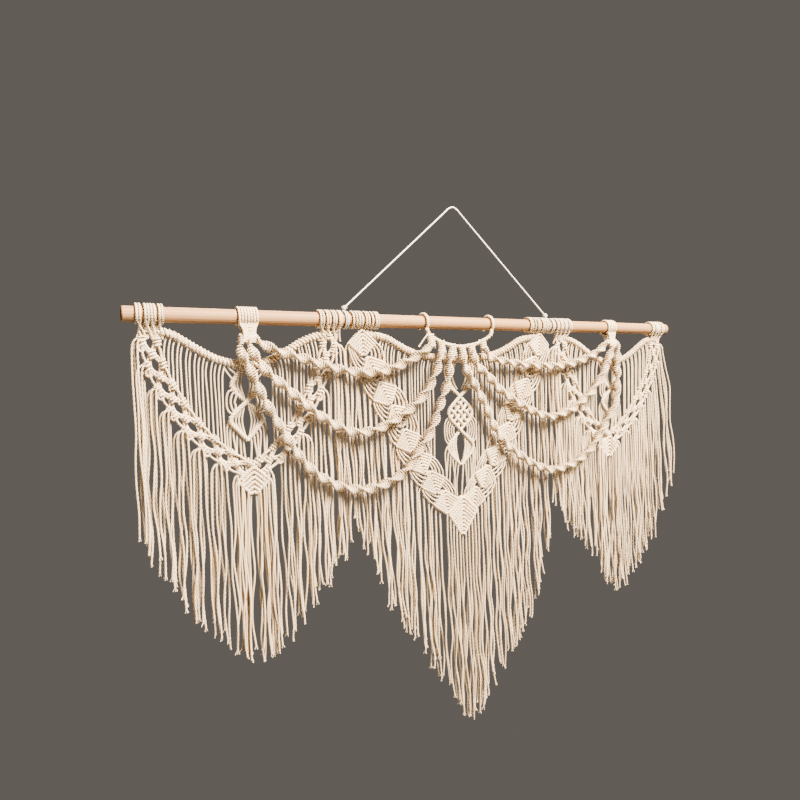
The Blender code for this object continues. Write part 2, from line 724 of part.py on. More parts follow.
def dowel(name, material):
    facets, chamfer = 24, 1.2
    half, radius = DOWEL_LENGTH / 2, DOWEL_DIAMETER / 2
    bm = bmesh.new()
    rings = []
    ends = ((-half, radius - chamfer), (-half + chamfer, radius))
    ends += ((half - chamfer, radius), (half, radius - chamfer))
    for x, r in ends:
        corners = []
        for k in range(facets):
            angle = k * math.tau / facets
            y, z = r * math.cos(angle) - AXIS_IN_FRONT, r * math.sin(angle) - AXIS_BELOW
            corners.append(Vector((x, y, z)) * MM)
        rings.append(corners)
    tube(bm, rings)
    rod = finish(name, bm, material)
    rod.data.shade_smooth()
    rod.data.set_sharp_from_angle(angle=math.radians(30))


def cord_route():
    """The hanging cord's points, from a smooth curve drawn taut from tie to tie over its top."""
    x, y, z = TIE_KNOT
    foot = Vector((x, y - AXIS_IN_FRONT, z - AXIS_BELOW))
    bend = BEND_RADIUS + HANGING_CORD / 2
    hub = Vector((0.0, 0.0, HANGING_CORD / 2 - bend))
    slope = math.atan2(hub.z - foot.z, foot.x)
    reach = math.asin(bend / (hub - foot).length)
    half = slope + reach  # of the bend, from its top to where the leg leaves it
    right = []
    for share in (0.0, 0.5, 1.0):
        angle = half * share
        right.append(hub + bend * Vector((math.sin(angle), 0.0, math.cos(angle))))
    leave = right[-1]
    for share in (0.1, 0.4, 0.7, 1.0):
        right.append(leave.lerp(foot, share))
    left = [Vector((-p.x, p.y, p.z)) for p in right[:0:-1]]
    route = Route([p * MM for p in left + right])
    steps = 2 * round(route.length / MM / (6 * HANGING_CORD))
    return [route.at(k / steps)[0] for k in range(steps + 1)]


def hanging_cord(name, material):
    curve = bpy.data.curves.new(name, "CURVE")
    curve.dimensions = "3D"
    curve.bevel_depth = HANGING_CORD / 2 * MM
    curve.bevel_resolution = 2
    curve.use_fill_caps = True
    points = cord_route()
    spline = curve.splines.new("POLY")
    spline.points.add(len(points) - 1)
    for point, spot in zip(spline.points, points):
        point.co = (*spot, 1.0)
    curve.materials.append(material)
    obj = bpy.data.objects.new(name, curve)
    bpy.context.scene.collection.objects.link(obj)


def cord_tie(name, sign, material):
    """Two turns round the dowel and the knot on top that the cord comes out of."""
    points = cord_route()
    foot, before = (points[-1], points[-2]) if sign > 0 else (points[0], points[1])
    ahead = (before - foot).normalized()
    spots = [(sign * TIE_AT, 11.6, 5.0)]
    for back in (6.5, 3.5, 0.0):
        spot = foot / MM - ahead * (GAP + back)
        spots.append((spot.x, spot.z + AXIS_BELOW, spot.y + AXIS_IN_FRONT))
    bm = bmesh.new()
    knot(bm, spots, (2.4, 4.0, 3.9, 2.2))
    tie = finish(name, bm, material)
    sleeve = bmesh.new()
    wraps(sleeve, sign * TIE_AT - 3.2, sign * TIE_AT + 3.2, 2)
    joined(tie, finish(name + "_sleeve", sleeve, material))


def main():
    for obj in list(bpy.data.objects):
        bpy.data.objects.remove(obj)
    dowel("dowel", finish_of("beech", BEECH, 0.55))
    hanging_cord("hanging_cord", finish_of("white cord", WHITE_COTTON, 0.85))
    cord_tie("cord_tie_left", -1, finish_of("white cord, left tie", WHITE_COTTON, 0.85))
    cord_tie("cord_tie_right", 1, finish_of("white cord, right tie", WHITE_COTTON, 0.85))
    side_panel("panel_left", -1, finish_of("cotton, left panel", COTTON, 0.9))
    middle_panel("panel_center", finish_of("cotton, middle panel", COTTON, 0.9))
    side_panel("panel_right", 1, finish_of("cotton, right panel", COTTON, 0.9))
    garlands("garlands_left", -1, finish_of("cotton, left garlands", COTTON, 0.9))
    garlands("garlands_right", 1, finish_of("cotton, right garlands", COTTON, 0.9))
    swag("center_swag", finish_of("cotton, swag", COTTON, 0.9))


main()
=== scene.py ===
"""The looks of a macrame wall hanging on a beech dowel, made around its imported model.

Metres, +Z up, the front faces -Y, and the origin is under the top of the hanging cord.
Tables are in millimetres from the middle of the dowel's axis: x to the right, z up and,
where a row has a third number, y to the back.
"""

import math
import random

import bpy
from mathutils import Matrix, Vector


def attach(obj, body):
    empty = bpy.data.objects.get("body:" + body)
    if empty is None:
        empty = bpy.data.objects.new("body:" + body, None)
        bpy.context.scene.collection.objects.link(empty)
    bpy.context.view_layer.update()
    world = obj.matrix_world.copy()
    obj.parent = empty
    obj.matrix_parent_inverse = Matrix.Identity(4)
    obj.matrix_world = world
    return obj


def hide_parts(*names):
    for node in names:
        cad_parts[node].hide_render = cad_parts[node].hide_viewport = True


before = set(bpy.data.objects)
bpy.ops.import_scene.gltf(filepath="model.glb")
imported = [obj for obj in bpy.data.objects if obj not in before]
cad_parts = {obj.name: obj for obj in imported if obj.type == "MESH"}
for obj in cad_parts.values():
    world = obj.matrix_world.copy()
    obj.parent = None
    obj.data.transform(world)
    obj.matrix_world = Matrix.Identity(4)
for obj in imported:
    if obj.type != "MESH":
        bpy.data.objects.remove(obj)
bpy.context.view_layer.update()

# Camera: it stands left of the middle, just under the dowel's height, and looks to the
# right along the hanging.

CAMERA_AT = (-0.5760, -0.8658, -0.2529)
YAW, PITCH, ROLL = (math.radians(angle) for angle in (28.788, -3.171, 0.509))

ahead = Vector((math.sin(YAW) * math.cos(PITCH), math.cos(YAW) * math.cos(PITCH), math.sin(PITCH)))
level = Vector((math.cos(YAW), -math.sin(YAW), 0.0))
upright = level.cross(ahead)
right = math.cos(ROLL) * level - math.sin(ROLL) * upright
up = math.sin(ROLL) * level + math.cos(ROLL) * upright
camera_data = bpy.data.cameras.new("camera")
camera_data.lens = 28.35
camera_data.sensor_width = 36.0
camera = bpy.data.objects.new("camera", camera_data)
camera.matrix_world = Matrix((right, up, -ahead)).transposed().to_4x4()
camera.location = CAMERA_AT
bpy.context.scene.collection.objects.link(camera)
bpy.context.scene.camera = camera

# Hanging cord: one length of white twisted cotton, 3 mm thick, drawn taut from its tie on
# the dowel up to the bend that everything hangs by, and down to the other tie.

MM = 0.001
AXIS_BELOW = 186.0  # the dowel's axis from the origin
AXIS_IN_FRONT = 10.0
LEAN = 0.018  # the dowel hangs about a degree out of level, so the cloth hangs off square

HANGING_CORD = 3.0
BEND_RADIUS = 10.0  # inside the cord's bend at its top
TIE_KNOT = (192.0, 8.0, 21.0)  # x, y, z of the cord's end in its tie
PATH_STEP = 18.0  # from one declared point of the cord to the next
WHITE_LAY = 10.0  # of its three strands: their length for one turn
WHITE_COTTON = (0.86, 0.81, 0.73)
# painted shade in the creases between the white cord's strands
WHITE_CREASE_SHADE = (0.40, 0.38, 0.36)

DICE = random.Random(11)


def place(x, z, y=0.0):
    """A point of the cloth in metres, leaned below the dowel."""
    return Vector((x - LEAN * min(z, 0.0), y - AXIS_IN_FRONT, z - AXIS_BELOW)) * MM


class Route:
    """A smooth curve through points, read by its share of the length."""

    def __init__(self, points, steps=12):
        ends = [2 * points[0] - points[1], *points, 2 * points[-1] - points[-2]]
        self.points = []
        for a, b, c, d in zip(ends, ends[1:], ends[2:], ends[3:]):
            for step in range(steps):
                t = step / steps
                bend = (2 * a - 5 * b + 4 * c - d) * t**2 + (3 * b - a - 3 * c + d) * t**3
                self.points.append((2 * b + (c - a) * t + bend) / 2)
        self.points.append(points[-1])
        self.reach = [0.0]
        for a, b in zip(self.points, self.points[1:]):
            self.reach.append(self.reach[-1] + (b - a).length)
        self.length = self.reach[-1]

    def at(self, share):
        """The place and the direction at this share of the length."""
        far = min(max(share, 0.0), 1.0) * self.length
        i = 0
        while i < len(self.reach) - 2 and self.reach[i + 1] < far:
            i += 1
        a, b = self.points[i], self.points[i + 1]
        return a.lerp(b, (far - self.reach[i]) / (b - a).length), (b - a).normalized()


def put(tree, kind, settings=None, inputs=None):
    """A node with its settings, and its inputs set to values or linked to sockets."""
    node = tree.nodes.new(kind)
    for key, value in (settings or {}).items():
        setattr(node, key, value)
    for key, value in (inputs or {}).items():
        if isinstance(value, bpy.types.NodeSocket):
            tree.links.new(value, node.inputs[key])
        else:
            node.inputs[key].default_value = value
    return node


def math_node(tree, operation, first, second=0.0):
    return put(tree, "ShaderNodeMath", {"operation": operation}, {0: first, 1: second}).outputs[0]


def laid_cord_tree():
    """Turns lines into cord of three twisted strands, which may swell where it is knotted.

    Each point of the lines has its radius as thick, the share of the swelling as bumps, a
    shade as tone and the angle that the twist starts at as turn. The cord keeps its length
    as along, its crests as ply and the way out of its middle as round x and round y.
    """
    tree = bpy.data.node_groups.new("laid cord", "GeometryNodeTree")
    sockets = {}
    for name, kind in (
        ("Lines", "Geometry"), ("Step", "Float"), ("Lay", "Float"),
        ("Bump spacing", "Float"), ("Finish", "Material"),
    ):  # fmt: skip
        socket = tree.interface.new_socket(name, in_out="INPUT", socket_type="NodeSocket" + kind)
        sockets[name] = socket.identifier
    tree.interface.new_socket("Cord", in_out="OUTPUT", socket_type="NodeSocketGeometry")
    given = tree.nodes.new("NodeGroupInput").outputs

    def point_value(name):
        node = put(tree, "GeometryNodeInputNamedAttribute", {"data_type": "FLOAT"}, {"Name": name})
        return node.outputs["Attribute"]

    line = put(tree, "GeometryNodeMeshToCurve", {}, {"Mesh": given["Lines"]}).outputs["Curve"]
    line = put(
        tree, "GeometryNodeResampleCurve", {"mode": "LENGTH"},
        {"Curve": line, "Length": given["Step"]},
    ).outputs["Curve"]  # fmt: skip
    far = tree.nodes.new("GeometryNodeSplineParameter").outputs["Length"]
    turns = math_node(tree, "MULTIPLY", math_node(tree, "DIVIDE", far, given["Lay"]), math.tau)
    turns = math_node(tree, "ADD", turns, point_value("turn"))
    line = put(tree, "GeometryNodeSetCurveTilt", {}, {"Curve": line, "Tilt": turns}).outputs[0]
    line = put(
        tree, "GeometryNodeStoreNamedAttribute", {"data_type": "FLOAT", "domain": "POINT"},
        {"Geometry": line, "Name": "along", "Value": far},
    ).outputs[0]  # fmt: skip
    wave = math_node(tree, "DIVIDE", far, given["Bump spacing"])
    wave = math_node(tree, "SINE", math_node(tree, "MULTIPLY", wave, math.tau))
    swell = math_node(tree, "MULTIPLY", wave, point_value("bumps"))
    radius = math_node(tree, "MULTIPLY", point_value("thick"), math_node(tree, "ADD", swell, 1.0))
    section = put(
        tree, "GeometryNodeCurveStar", {}, {"Points": 3, "Inner Radius": 0.84, "Outer Radius": 1.0}
    )
    corner = put(
        tree, "ShaderNodeVectorMath", {"operation": "NORMALIZE"},
        {0: tree.nodes.new("GeometryNodeInputPosition").outputs[0]},
    )  # fmt: skip
    corner = put(tree, "ShaderNodeSeparateXYZ", {}, {0: corner.outputs[0]}).outputs
    profile = section.outputs["Curve"]
    for name, value in (
        ("ply", section.outputs["Outer Points"]), ("round x", corner[0]), ("round y", corner[1]),
    ):  # fmt: skip
        profile = put(
            tree, "GeometryNodeStoreNamedAttribute", {"data_type": "FLOAT", "domain": "POINT"},
            {"Geometry": profile, "Name": name, "Value": value},
        ).outputs[0]  # fmt: skip
    cord = put(
        tree, "GeometryNodeCurveToMesh", {},
        {"Curve": line, "Profile Curve": profile, "Scale": radius, "Fill Caps": True},
    ).outputs[0]  # fmt: skip
    cord = put(tree, "GeometryNodeSetShadeSmooth", {}, {"Geometry": cord}).outputs[0]
    cord = put(tree, "GeometryNodeRealizeInstances", {}, {"Geometry": cord}).outputs[0]
    cord = put(
        tree, "GeometryNodeSetMaterial", {}, {"Geometry": cord, "Material": given["Finish"]}
    ).outputs[0]
    tree.links.new(cord, tree.nodes.new("NodeGroupOutput").inputs["Cord"])
    return tree, sockets


LAID_CORD, LAID_CORD_INPUTS = laid_cord_tree()


class Yarn:
    """Lengths of cord, gathered as lines that the laid-cord tree then turns solid."""

    def __init__(self):
        self.spots, self.edges, self.rows = [], [], []

    def lay(self, points, thick, bumps=0.0, smooth=5, tip=1.0, tone=None):
        """A cord of this many mm through points in metres, rounded unless smooth is 0.

        Its radius swells by the share bumps, and ends at tip times its size.
        """
        if smooth:
            points = Route(points, smooth).points
        tone = DICE.random() if tone is None else tone
        row = (thick / 2 * MM, bumps, tone, DICE.uniform(0.0, math.tau))
        first = len(self.spots)
        self.spots += points
        self.edges += [(first + k, first + k + 1) for k in range(len(points) - 1)]
        self.rows += [row] * (len(points) - 1) + [(row[0] * tip, *row[1:])]

    def solid(self, name, finish, step=1.9, lay=12.0, spacing=5.0):
        """One mesh of all the cords: the lengths of a step, of the lay and between bumps."""
        mesh = bpy.data.meshes.new(name)
        mesh.from_pydata(self.spots, self.edges, [])
        for k, attribute in enumerate(("thick", "bumps", "tone", "turn")):
            values = mesh.attributes.new(attribute, "FLOAT", "POINT").data
            values.foreach_set("value", [row[k] for row in self.rows])
        piece = bpy.data.objects.new(name, mesh)
        bpy.context.scene.collection.objects.link(piece)
        modifier = piece.modifiers.new("Laid cord", "NODES")
        modifier.node_group = LAID_CORD
        modifier[LAID_CORD_INPUTS["Step"]] = step * MM
        modifier[LAID_CORD_INPUTS["Lay"]] = lay * MM
        modifier[LAID_CORD_INPUTS["Bump spacing"]] = spacing * MM
        modifier[LAID_CORD_INPUTS["Finish"]] = finish
        made = piece.evaluated_get(bpy.context.evaluated_depsgraph_get())
        cord = bpy.data.meshes.new_from_object(made)
        piece.modifiers.clear()
        piece.data = cord
        cord.name = name
        return piece


YARN_TWIST = 2.4  # from one stripe of the twist, in painted shade and bump, to the next along the cord
PLAIN_SHADE = 0.79
SHADE_OF_TONE = 0.16  # how much each can add to it
SHADE_OF_CLOUD = 0.14
SHADE_OF_FUZZ = 0.10
# the twist's stripes add painted light and shade along the cord
PAINTED_SHADE_OF_TWIST = 0.16


def cotton_fibre_group():
    """Colour and height of twisted cotton: painted shade between its strands, painted light and shade
    in stripes along its twist, flecked and fuzzy.
    """
    tree = bpy.data.node_groups.new("cotton fibre", "ShaderNodeTree")
    for name, kind in (("Cotton", "Color"), ("Crease shade", "Color")):
        tree.interface.new_socket(name, in_out="INPUT", socket_type="NodeSocket" + kind)
    for name, kind in (("Color", "Color"), ("Height", "Float")):
        tree.interface.new_socket(name, in_out="OUTPUT", socket_type="NodeSocket" + kind)
    given = tree.nodes.new("NodeGroupInput").outputs
    result = tree.nodes.new("NodeGroupOutput").inputs
    ply, tone, along, round_x, round_y = (
        put(tree, "ShaderNodeAttribute", {"attribute_name": name}).outputs["Fac"]
        for name in ("ply", "tone", "along", "round x", "round y")
    )
    turned = math_node(tree, "MULTIPLY", along, math.tau / (YARN_TWIST * MM))
    twist = math_node(tree, "MULTIPLY", math_node(tree, "SINE", turned), round_x)
    other = math_node(tree, "MULTIPLY", math_node(tree, "COSINE", turned), round_y)
    twist = math_node(tree, "ADD", twist, other)
    where = tree.nodes.new("ShaderNodeTexCoord").outputs["Object"]
    fuzz = put(
        tree, "ShaderNodeTexNoise", {}, {"Vector": where, "Scale": 1500.0, "Detail": 3.0}
    ).outputs["Fac"]
    cloud = put(
        tree, "ShaderNodeTexNoise", {}, {"Vector": where, "Scale": 45.0, "Detail": 2.0}
    ).outputs["Fac"]
    # the crests keep the cotton's colour; towards the creases between strands the colour turns to
    # painted shade
    crest = put(
        tree, "ShaderNodeMapRange", {},
        {"Value": ply, "From Min": 0.0, "From Max": 0.55, "To Min": 0.12, "To Max": 1.0},
    ).outputs[0]  # fmt: skip
    base_with_crease_shade = put(
        tree, "ShaderNodeMix", {"data_type": "RGBA"},
        {"Factor": crest, "A": given["Crease shade"], "B": given["Cotton"]},
    )  # fmt: skip
    # tone, cloud and fuzz are the cord's own colour; the twist's stripes are painted light and shade
    shade = PLAIN_SHADE
    for mark, share in (
        (tone, SHADE_OF_TONE), (cloud, SHADE_OF_CLOUD), (fuzz, SHADE_OF_FUZZ), (twist, PAINTED_SHADE_OF_TWIST),
    ):  # fmt: skip
        shade = math_node(tree, "ADD", math_node(tree, "MULTIPLY", mark, share), shade)
    colour = put(
        tree, "ShaderNodeVectorMath", {"operation": "SCALE"},
        {0: base_with_crease_shade.outputs["Result"], "Scale": shade},
    ).outputs[0]  # fmt: skip
    tree.links.new(colour, result["Color"])
    height = math_node(tree, "ADD", math_node(tree, "MULTIPLY", twist, 0.5), fuzz)
    tree.links.new(height, result["Height"])
    return tree


COTTON_FIBRE = cotton_fibre_group()


def cotton_finish(name, cotton, crease_shade):
    """Matt cotton cord with the soft sheen of its loose fibres, and painted shade in its creases and
    along its twist.
    """
    material = bpy.data.materials.new(name)
    material.use_nodes = True
    tree = material.node_tree
    shader = tree.nodes["Principled BSDF"]
    fibre = put(tree, "ShaderNodeGroup", {"node_tree": COTTON_FIBRE})
    fibre.inputs["Cotton"].default_value = (*cotton, 1.0)
    fibre.inputs["Crease shade"].default_value = (*crease_shade, 1.0)
    bump = put(
        tree, "ShaderNodeBump", {},
        {"Strength": 0.5, "Distance": 0.0004, "Height": fibre.outputs["Height"]},
    )  # fmt: skip
    tree.links.new(fibre.outputs["Color"], shader.inputs["Base Color"])
    tree.links.new(bump.outputs["Normal"], shader.inputs["Normal"])
    shader.inputs["Roughness"].default_value = 0.92
    shader.inputs["Specular IOR Level"].default_value = 0.2
    shader.inputs["Sheen Weight"].default_value = 0.12
    shader.inputs["Sheen Roughness"].default_value = 0.5
    return material


def fit(piece, slot, *nodes):
    """The piece rides on the hanging and stands for nodes; slot is not used."""
    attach(piece, "root")
    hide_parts(*nodes)


def hanging_cord_route():
    """The cord's points: a leg up from each tie and the bend at the top."""
    x, y, z = TIE_KNOT
    foot = Vector((x, y - AXIS_IN_FRONT, z - AXIS_BELOW))
    bend = BEND_RADIUS + HANGING_CORD / 2
    hub = Vector((0.0, 0.0, HANGING_CORD / 2 - bend))
    slope = math.atan2(hub.z - foot.z, foot.x)
    half = slope + math.asin(bend / (hub - foot).length)
    right = []
    for share in (0.0, 0.5, 1.0):
        angle = half * share
        right.append(hub + bend * Vector((math.sin(angle), 0.0, math.cos(angle))))
    leave = right[-1]
    for share in (0.1, 0.4, 0.7, 1.0):
        right.append(leave.lerp(foot, share))
    left = [Vector((-p.x, p.y, p.z)) for p in right[:0:-1]]
    route = Route([p * MM for p in left + right])
    steps = 2 * round(route.length / MM / PATH_STEP)
    return [route.at(k / steps)[0] for k in range(steps + 1)], route.length


white_cotton = cotton_finish("white cotton", WHITE_COTTON, WHITE_CREASE_SHADE)
cord_points, cord_length = hanging_cord_route()
line = Yarn()
line.lay(cord_points, HANGING_CORD, tone=0.6)
hanging_line = line.solid("hanging_line", white_cotton, step=1.1, lay=WHITE_LAY)
fit(hanging_line, "white_cord", "hanging_cord")

# Ties of the hanging cord: two turns round the dowel, and a knot on top of it that the
# cord's end comes out of.

TIE_AT = 198.0
TIE_REACH = 12.2  # from the dowel's axis to the middle of a turn
TIE_TURNS = (-1.6, 1.7)  # x of the turns from TIE_AT
TIE_LOOPS = ((2.2, 3.9), (5.4, 4.4))  # how far below the cord's end, size
LOOP_REACH = 0.62  # its radius for its size
LOOP_LEAD = 2.2  # along the cord from one end of a loop to the other
LOOP_POINTS = 8
TIE_LEAD = ((TIE_AT, 11.6, 5.0), (195.0, 15.5, 7.0))  # x, z, y from its turns up to its knot
TURN_STEPS = 14


def turn_round(yarn, x, reach, thick, slant=0.0, gap=40.0, tone=None):
    """One turn of cord round the dowel at x, slanting by so many mm.

    It is open at its underside by an angle of gap on each side.
    """
    points = []
    for k in range(TURN_STEPS + 1):
        angle = math.radians(-90.0 + gap + (360.0 - 2 * gap) * k / TURN_STEPS)
        y, z = reach * math.cos(angle), reach * math.sin(angle)
        points.append(place(x + slant * (k / TURN_STEPS - 0.5), z, y))
    yarn.lay(points, thick, smooth=3, tone=tone)


for side, sign in (("left", -1), ("right", 1)):
    tie = Yarn()
    for shift in TIE_TURNS:
        turn_round(tie, sign * TIE_AT + shift, TIE_REACH, HANGING_CORD, gap=0.0)
    foot, above = cord_points[:2] if sign < 0 else (cord_points[-1], cord_points[-2])
    climb = (above - foot).normalized()
    across = Vector((0.0, 1.0, 0.0)).cross(climb).normalized()
    for back, size in TIE_LOOPS:
        centre = foot - climb * back * MM
        loop = []
        for k in range(LOOP_POINTS + 1):
            angle = math.tau * k / LOOP_POINTS
            out = math.cos(angle) * across + math.sin(angle) * climb.cross(across)
            lead = climb * (k / LOOP_POINTS - 0.5) * LOOP_LEAD * MM
            loop.append(centre + size * LOOP_REACH * MM * out + lead)
        tie.lay(loop, HANGING_CORD)
    tie.lay([place(sign * x, z, y) for x, z, y in TIE_LEAD] + [foot], HANGING_CORD)
    piece = tie.solid("tie_knot_" + side, white_cotton, step=1.2, lay=WHITE_LAY)
    fit(piece, "white_cord", "cord_tie_" + side)

# Dowel: a plain turned beech rod, 1 m long, sanded and left bare.

BEECH_PALE = (0.48, 0.30, 0.175)
BEECH_DARK = (0.36, 0.205, 0.11)
PITH = (0.0, 0.032, 0.150)  # the tree's middle, off to the side of the rod
RINGS_SHARE = 0.5  # of the rings, and of the mottle, in the grain
MOTTLE_SHARE = 0.5
GRAIN_OFFSET = 0.25


def beech_finish():
    """Bare beech: faint rings and mottle along the rod, with short dark flecks."""
    material = bpy.data.materials.new("beech")
    material.use_nodes = True
    tree = material.node_tree
    shader = tree.nodes["Principled BSDF"]
    where = tree.nodes.new("ShaderNodeTexCoord").outputs["Object"]
    stretched = put(
        tree, "ShaderNodeMapping", {},
        {"Vector": where, "Location": PITH, "Scale": (0.06, 1.0, 1.0)},
    ).outputs[0]  # fmt: skip
    rings = put(
        tree, "ShaderNodeTexWave", {"wave_type": "RINGS", "rings_direction": "X"},
        {"Vector": stretched, "Scale": 90.0, "Distortion": 5.0, "Detail": 3.0, "Detail Scale": 0.6},
    ).outputs["Fac"]  # fmt: skip
    flecked = put(
        tree, "ShaderNodeMapping", {}, {"Vector": where, "Scale": (0.10, 1.0, 1.0)}
    ).outputs[0]
    flecks = put(
        tree, "ShaderNodeTexNoise", {}, {"Vector": flecked, "Scale": 900.0, "Detail": 3.0}
    ).outputs["Fac"]
    pores = put(
        tree, "ShaderNodeMapRange", {},
        {"Value": flecks, "From Min": 0.60, "From Max": 0.72, "To Min": 0.0, "To Max": 0.6},
    ).outputs[0]  # fmt: skip
    mottle = put(
        tree, "ShaderNodeTexNoise", {}, {"Vector": flecked, "Scale": 60.0, "Detail": 2.0}
    ).outputs["Fac"]
    grain = math_node(tree, "ADD", math_node(tree, "MULTIPLY", rings, RINGS_SHARE), pores)
    grain = math_node(tree, "ADD", grain, math_node(tree, "MULTIPLY", mottle, MOTTLE_SHARE))
    grain = math_node(tree, "SUBTRACT", grain, GRAIN_OFFSET)
    colour = put(
        tree, "ShaderNodeMix", {"data_type": "RGBA", "clamp_factor": True},
        {"Factor": grain, "A": (*BEECH_PALE, 1.0), "B": (*BEECH_DARK, 1.0)},
    )  # fmt: skip
    bump = put(
        tree, "ShaderNodeBump", {}, {"Strength": 0.25, "Distance": 0.0002, "Height": flecks}
    )
    roughness = math_node(tree, "ADD", math_node(tree, "MULTIPLY", flecks, 0.2), 0.42)
    tree.links.new(colour.outputs["Result"], shader.inputs["Base Color"])
    tree.links.new(roughness, shader.inputs["Roughness"])
    shader.inputs["Specular IOR Level"].default_value = 0.12
    tree.links.new(bump.outputs[0], shader.inputs["Normal"])
    return material


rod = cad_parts["dowel"]
beech = beech_finish()
for rod_slot in rod.material_slots:
    rod_slot.material = beech

# Side panels: natural cotton cord, folded over the dowel in two groups of turns. A hitched
# bar hangs in a scallop between them and carries a curtain of straight strands. Two knotted
# bands meet in a V over a leaf, and the fringe grows out of their knots.

COTTON = (0.91, 0.735, 0.525)
# painted shade in the creases between the cord's strands
COTTON_CREASE_SHADE = (0.11, 0.08, 0.06)
TURN_REACH = 12.5  # from the dowel's axis to the middle of a turn
TURN_CORD = 4.0
TURN_GAP = 22.0  # degrees that it leaves open on each side of the underside
FINE_CORD = 2.9
FRINGE_CORD = 3.4
FRINGE_SPACING = 3.4
FRINGE_STEP = 2.9  # between the rings of its mesh
FRINGE_LAY = 19.0
FRONT = Vector((0.0, -1.0, 0.0))
DOWN = Vector((0.0, 0.0, -1.0))

cotton = cotton_finish("natural cotton", COTTON, COTTON_CREASE_SHADE)

SIDE_TURNS = {  # x of the turns of a group
    "outer": (-483.0, -479.2, -473.0, -469.4, -465.8, -462.2, -456.4, -452.8),
    "inner": (-239.0, -235.0, -229.0, -225.2, -219.6, -215.8, -210.0, -207.0),
}
SIDE_BAR = (
    (-466, -19), (-442, -25), (-420, -38), (-400, -50), (-380, -59), (-345, -65),
    (-318, -60), (-290, -47), (-262, -31), (-226, -19),
)  # fmt: skip
OUTER_BAND = (
    (-469, -11), (-468, -40), (-461, -70), (-450, -96), (-436, -122), (-421, -145),
    (-400, -170), (-377, -191), (-346, -211),
)  # fmt: skip
INNER_BAND = (
    (-222, -13), (-225, -40), (-237, -75), (-250, -105), (-266, -137), (-283, -162),
    (-303, -185), (-338, -211),
)  # fmt: skip
SIDE_HEM = {  # x, z of the fringe's ends before they slant, in each panel
    -1: (
        (-500, -272), (-485, -295), (-451, -347), (-425, -398), (-409, -413), (-385, -446),
        (-362, -465), (-344, -473), (-322, -467), (-289, -448), (-266, -411), (-228, -371),
        (-202, -330), (-181, -295),
    ),
    1: (
        (181, -280), (200, -315), (220, -343), (247, -376), (266, -395), (290, -414),
        (306, -438), (326, -471), (346, -495), (366, -490), (394, -462), (420, -447),
        (440, -428), (452, -400), (466, -362), (480, -325), (491, -276), (505, -262),
    ),
}  # fmt: skip
SIDE_FLARE = {-1: 0.0, 1: 30.0}  # of the outermost strands at their tips
DRIFT = {-1: 0.0, 0: 0.03, 1: 0.045}  # the fringe's slant to the right, in each panel
CURTAIN_CORDS = 41
CURTAIN_FROM = -452.0  # x of its outermost cord
CURTAIN_SPACING = 5.25
CURTAIN_OPENING = (-378.0, -312.0)  # left and right edge, over the motif
LEAF_AT = 342.0  # from the middle of the dowel
SIDE_LEAF_TOP = -205.0
MOTIF_AT = 348.0
SIDE_CROSS = (  # x, z of half the cord that crosses itself down the motif
    (0, -68), (11, -79), (19, -92), (12, -104), (0, -115), (-13, -127), (-23, -140),
    (-13, -154), (0, -168),
)  # fmt: skip
SIDE_DIAMONDS = ((-70.0, -112.0), (-117.0, -165.0))  # z of the top and the foot
SIDE_TAILS = (3.5, 8.0, 12.5, 17.0, 21.5, 25.5)  # x from the motif's middle


def looked_up(table, x):
    """The second column at x, between the table's rows, which run left to right."""
    for (x0, z0), (x1, z1) in zip(table, table[1:]):
        if x <= x1:
            return z0 + (z1 - z0) * max(0.0, (x - x0) / (x1 - x0))
    return table[-1][1]


def mirrored(points, sign):
    """The points as they are on the left, and mirrored on the right."""
    return list(points) if sign < 0 else [(-x, *rest) for x, *rest in points]


def rising(table, sign):
    """The table as it is in the panel on that side, from left to right."""
    return sorted(mirrored(table, sign))


COIL_STEPS = 10  # points to a turn


def coil(
    yarn, route, half_wide, half_deep, pitch, thick, start=0.0, flip=0.0, taper=0.0, square=1.0
):  # fmt: skip
    """Cord wound round a route: hitches on a bar, a knot, or a flat sinnet that turns.

    The section is flat, makes half a turn in each flip of mm, and narrows over the taper
    at both ends. The winding begins at the start angle, and square under 1 fills out the
    section's corners.
    """
    length = route.length / MM
    count = round(length / pitch) * COIL_STEPS
    points = []
    for k in range(count + 1):
        spot, ahead = route.at(k / count)
        across = Vector((-ahead.z, 0.0, ahead.x)).normalized()
        out = ahead.cross(across)
        twist = math.pi * k / count * length / flip if flip else 0.0
        wide = math.cos(twist) * across + math.sin(twist) * out
        deep = math.cos(twist) * out - math.sin(twist) * across
        angle = math.tau * k / COIL_STEPS + start
        full = 1.0
        if taper:
            full = 0.55 + 0.45 * min(1.0, length * min(k, count - k) / count / taper)
        u, v = math.cos(angle), math.sin(angle)
        u, v = math.copysign(abs(u) ** square, u), math.copysign(abs(v) ** square, v)
        section = half_wide * u * wide + half_deep * v * deep
        points.append(spot + full * section * MM)
    yarn.lay(points, thick, bumps=0.05, smooth=0)


def hitched_bar(yarn, route):
    """A thick cord with hitches of two others side by side all along it."""
    yarn.lay(route.points, 7.4, smooth=0, tone=0.3)
    for start in (0.0, math.pi):
        coil(yarn, route, half_wide=4.2, half_deep=3.3, pitch=10.8, thick=4.5, start=start)


def knot(yarn, spots, half_wide):
    """Cord wound round the middle of a few others."""
    start = DICE.uniform(0.0, 3.0)
    coil(yarn, Route(spots, 4), half_wide, half_deep=2.8, pitch=4.3, thick=4.0, start=start)


BAND_CORD = 4.0
BAND_SWING = 7.4  # of the cords that cross, from the band's middle
BAND_EDGE = 10.0  # from its middle to its edge cords
BAND_STEPS = 8  # points to a cell
CURL = ((0.86, 9.5), (0.92, 14.2), (1.04, 14.2), (1.10, 10.0), (1.02, 7.8))  # cells on, aside


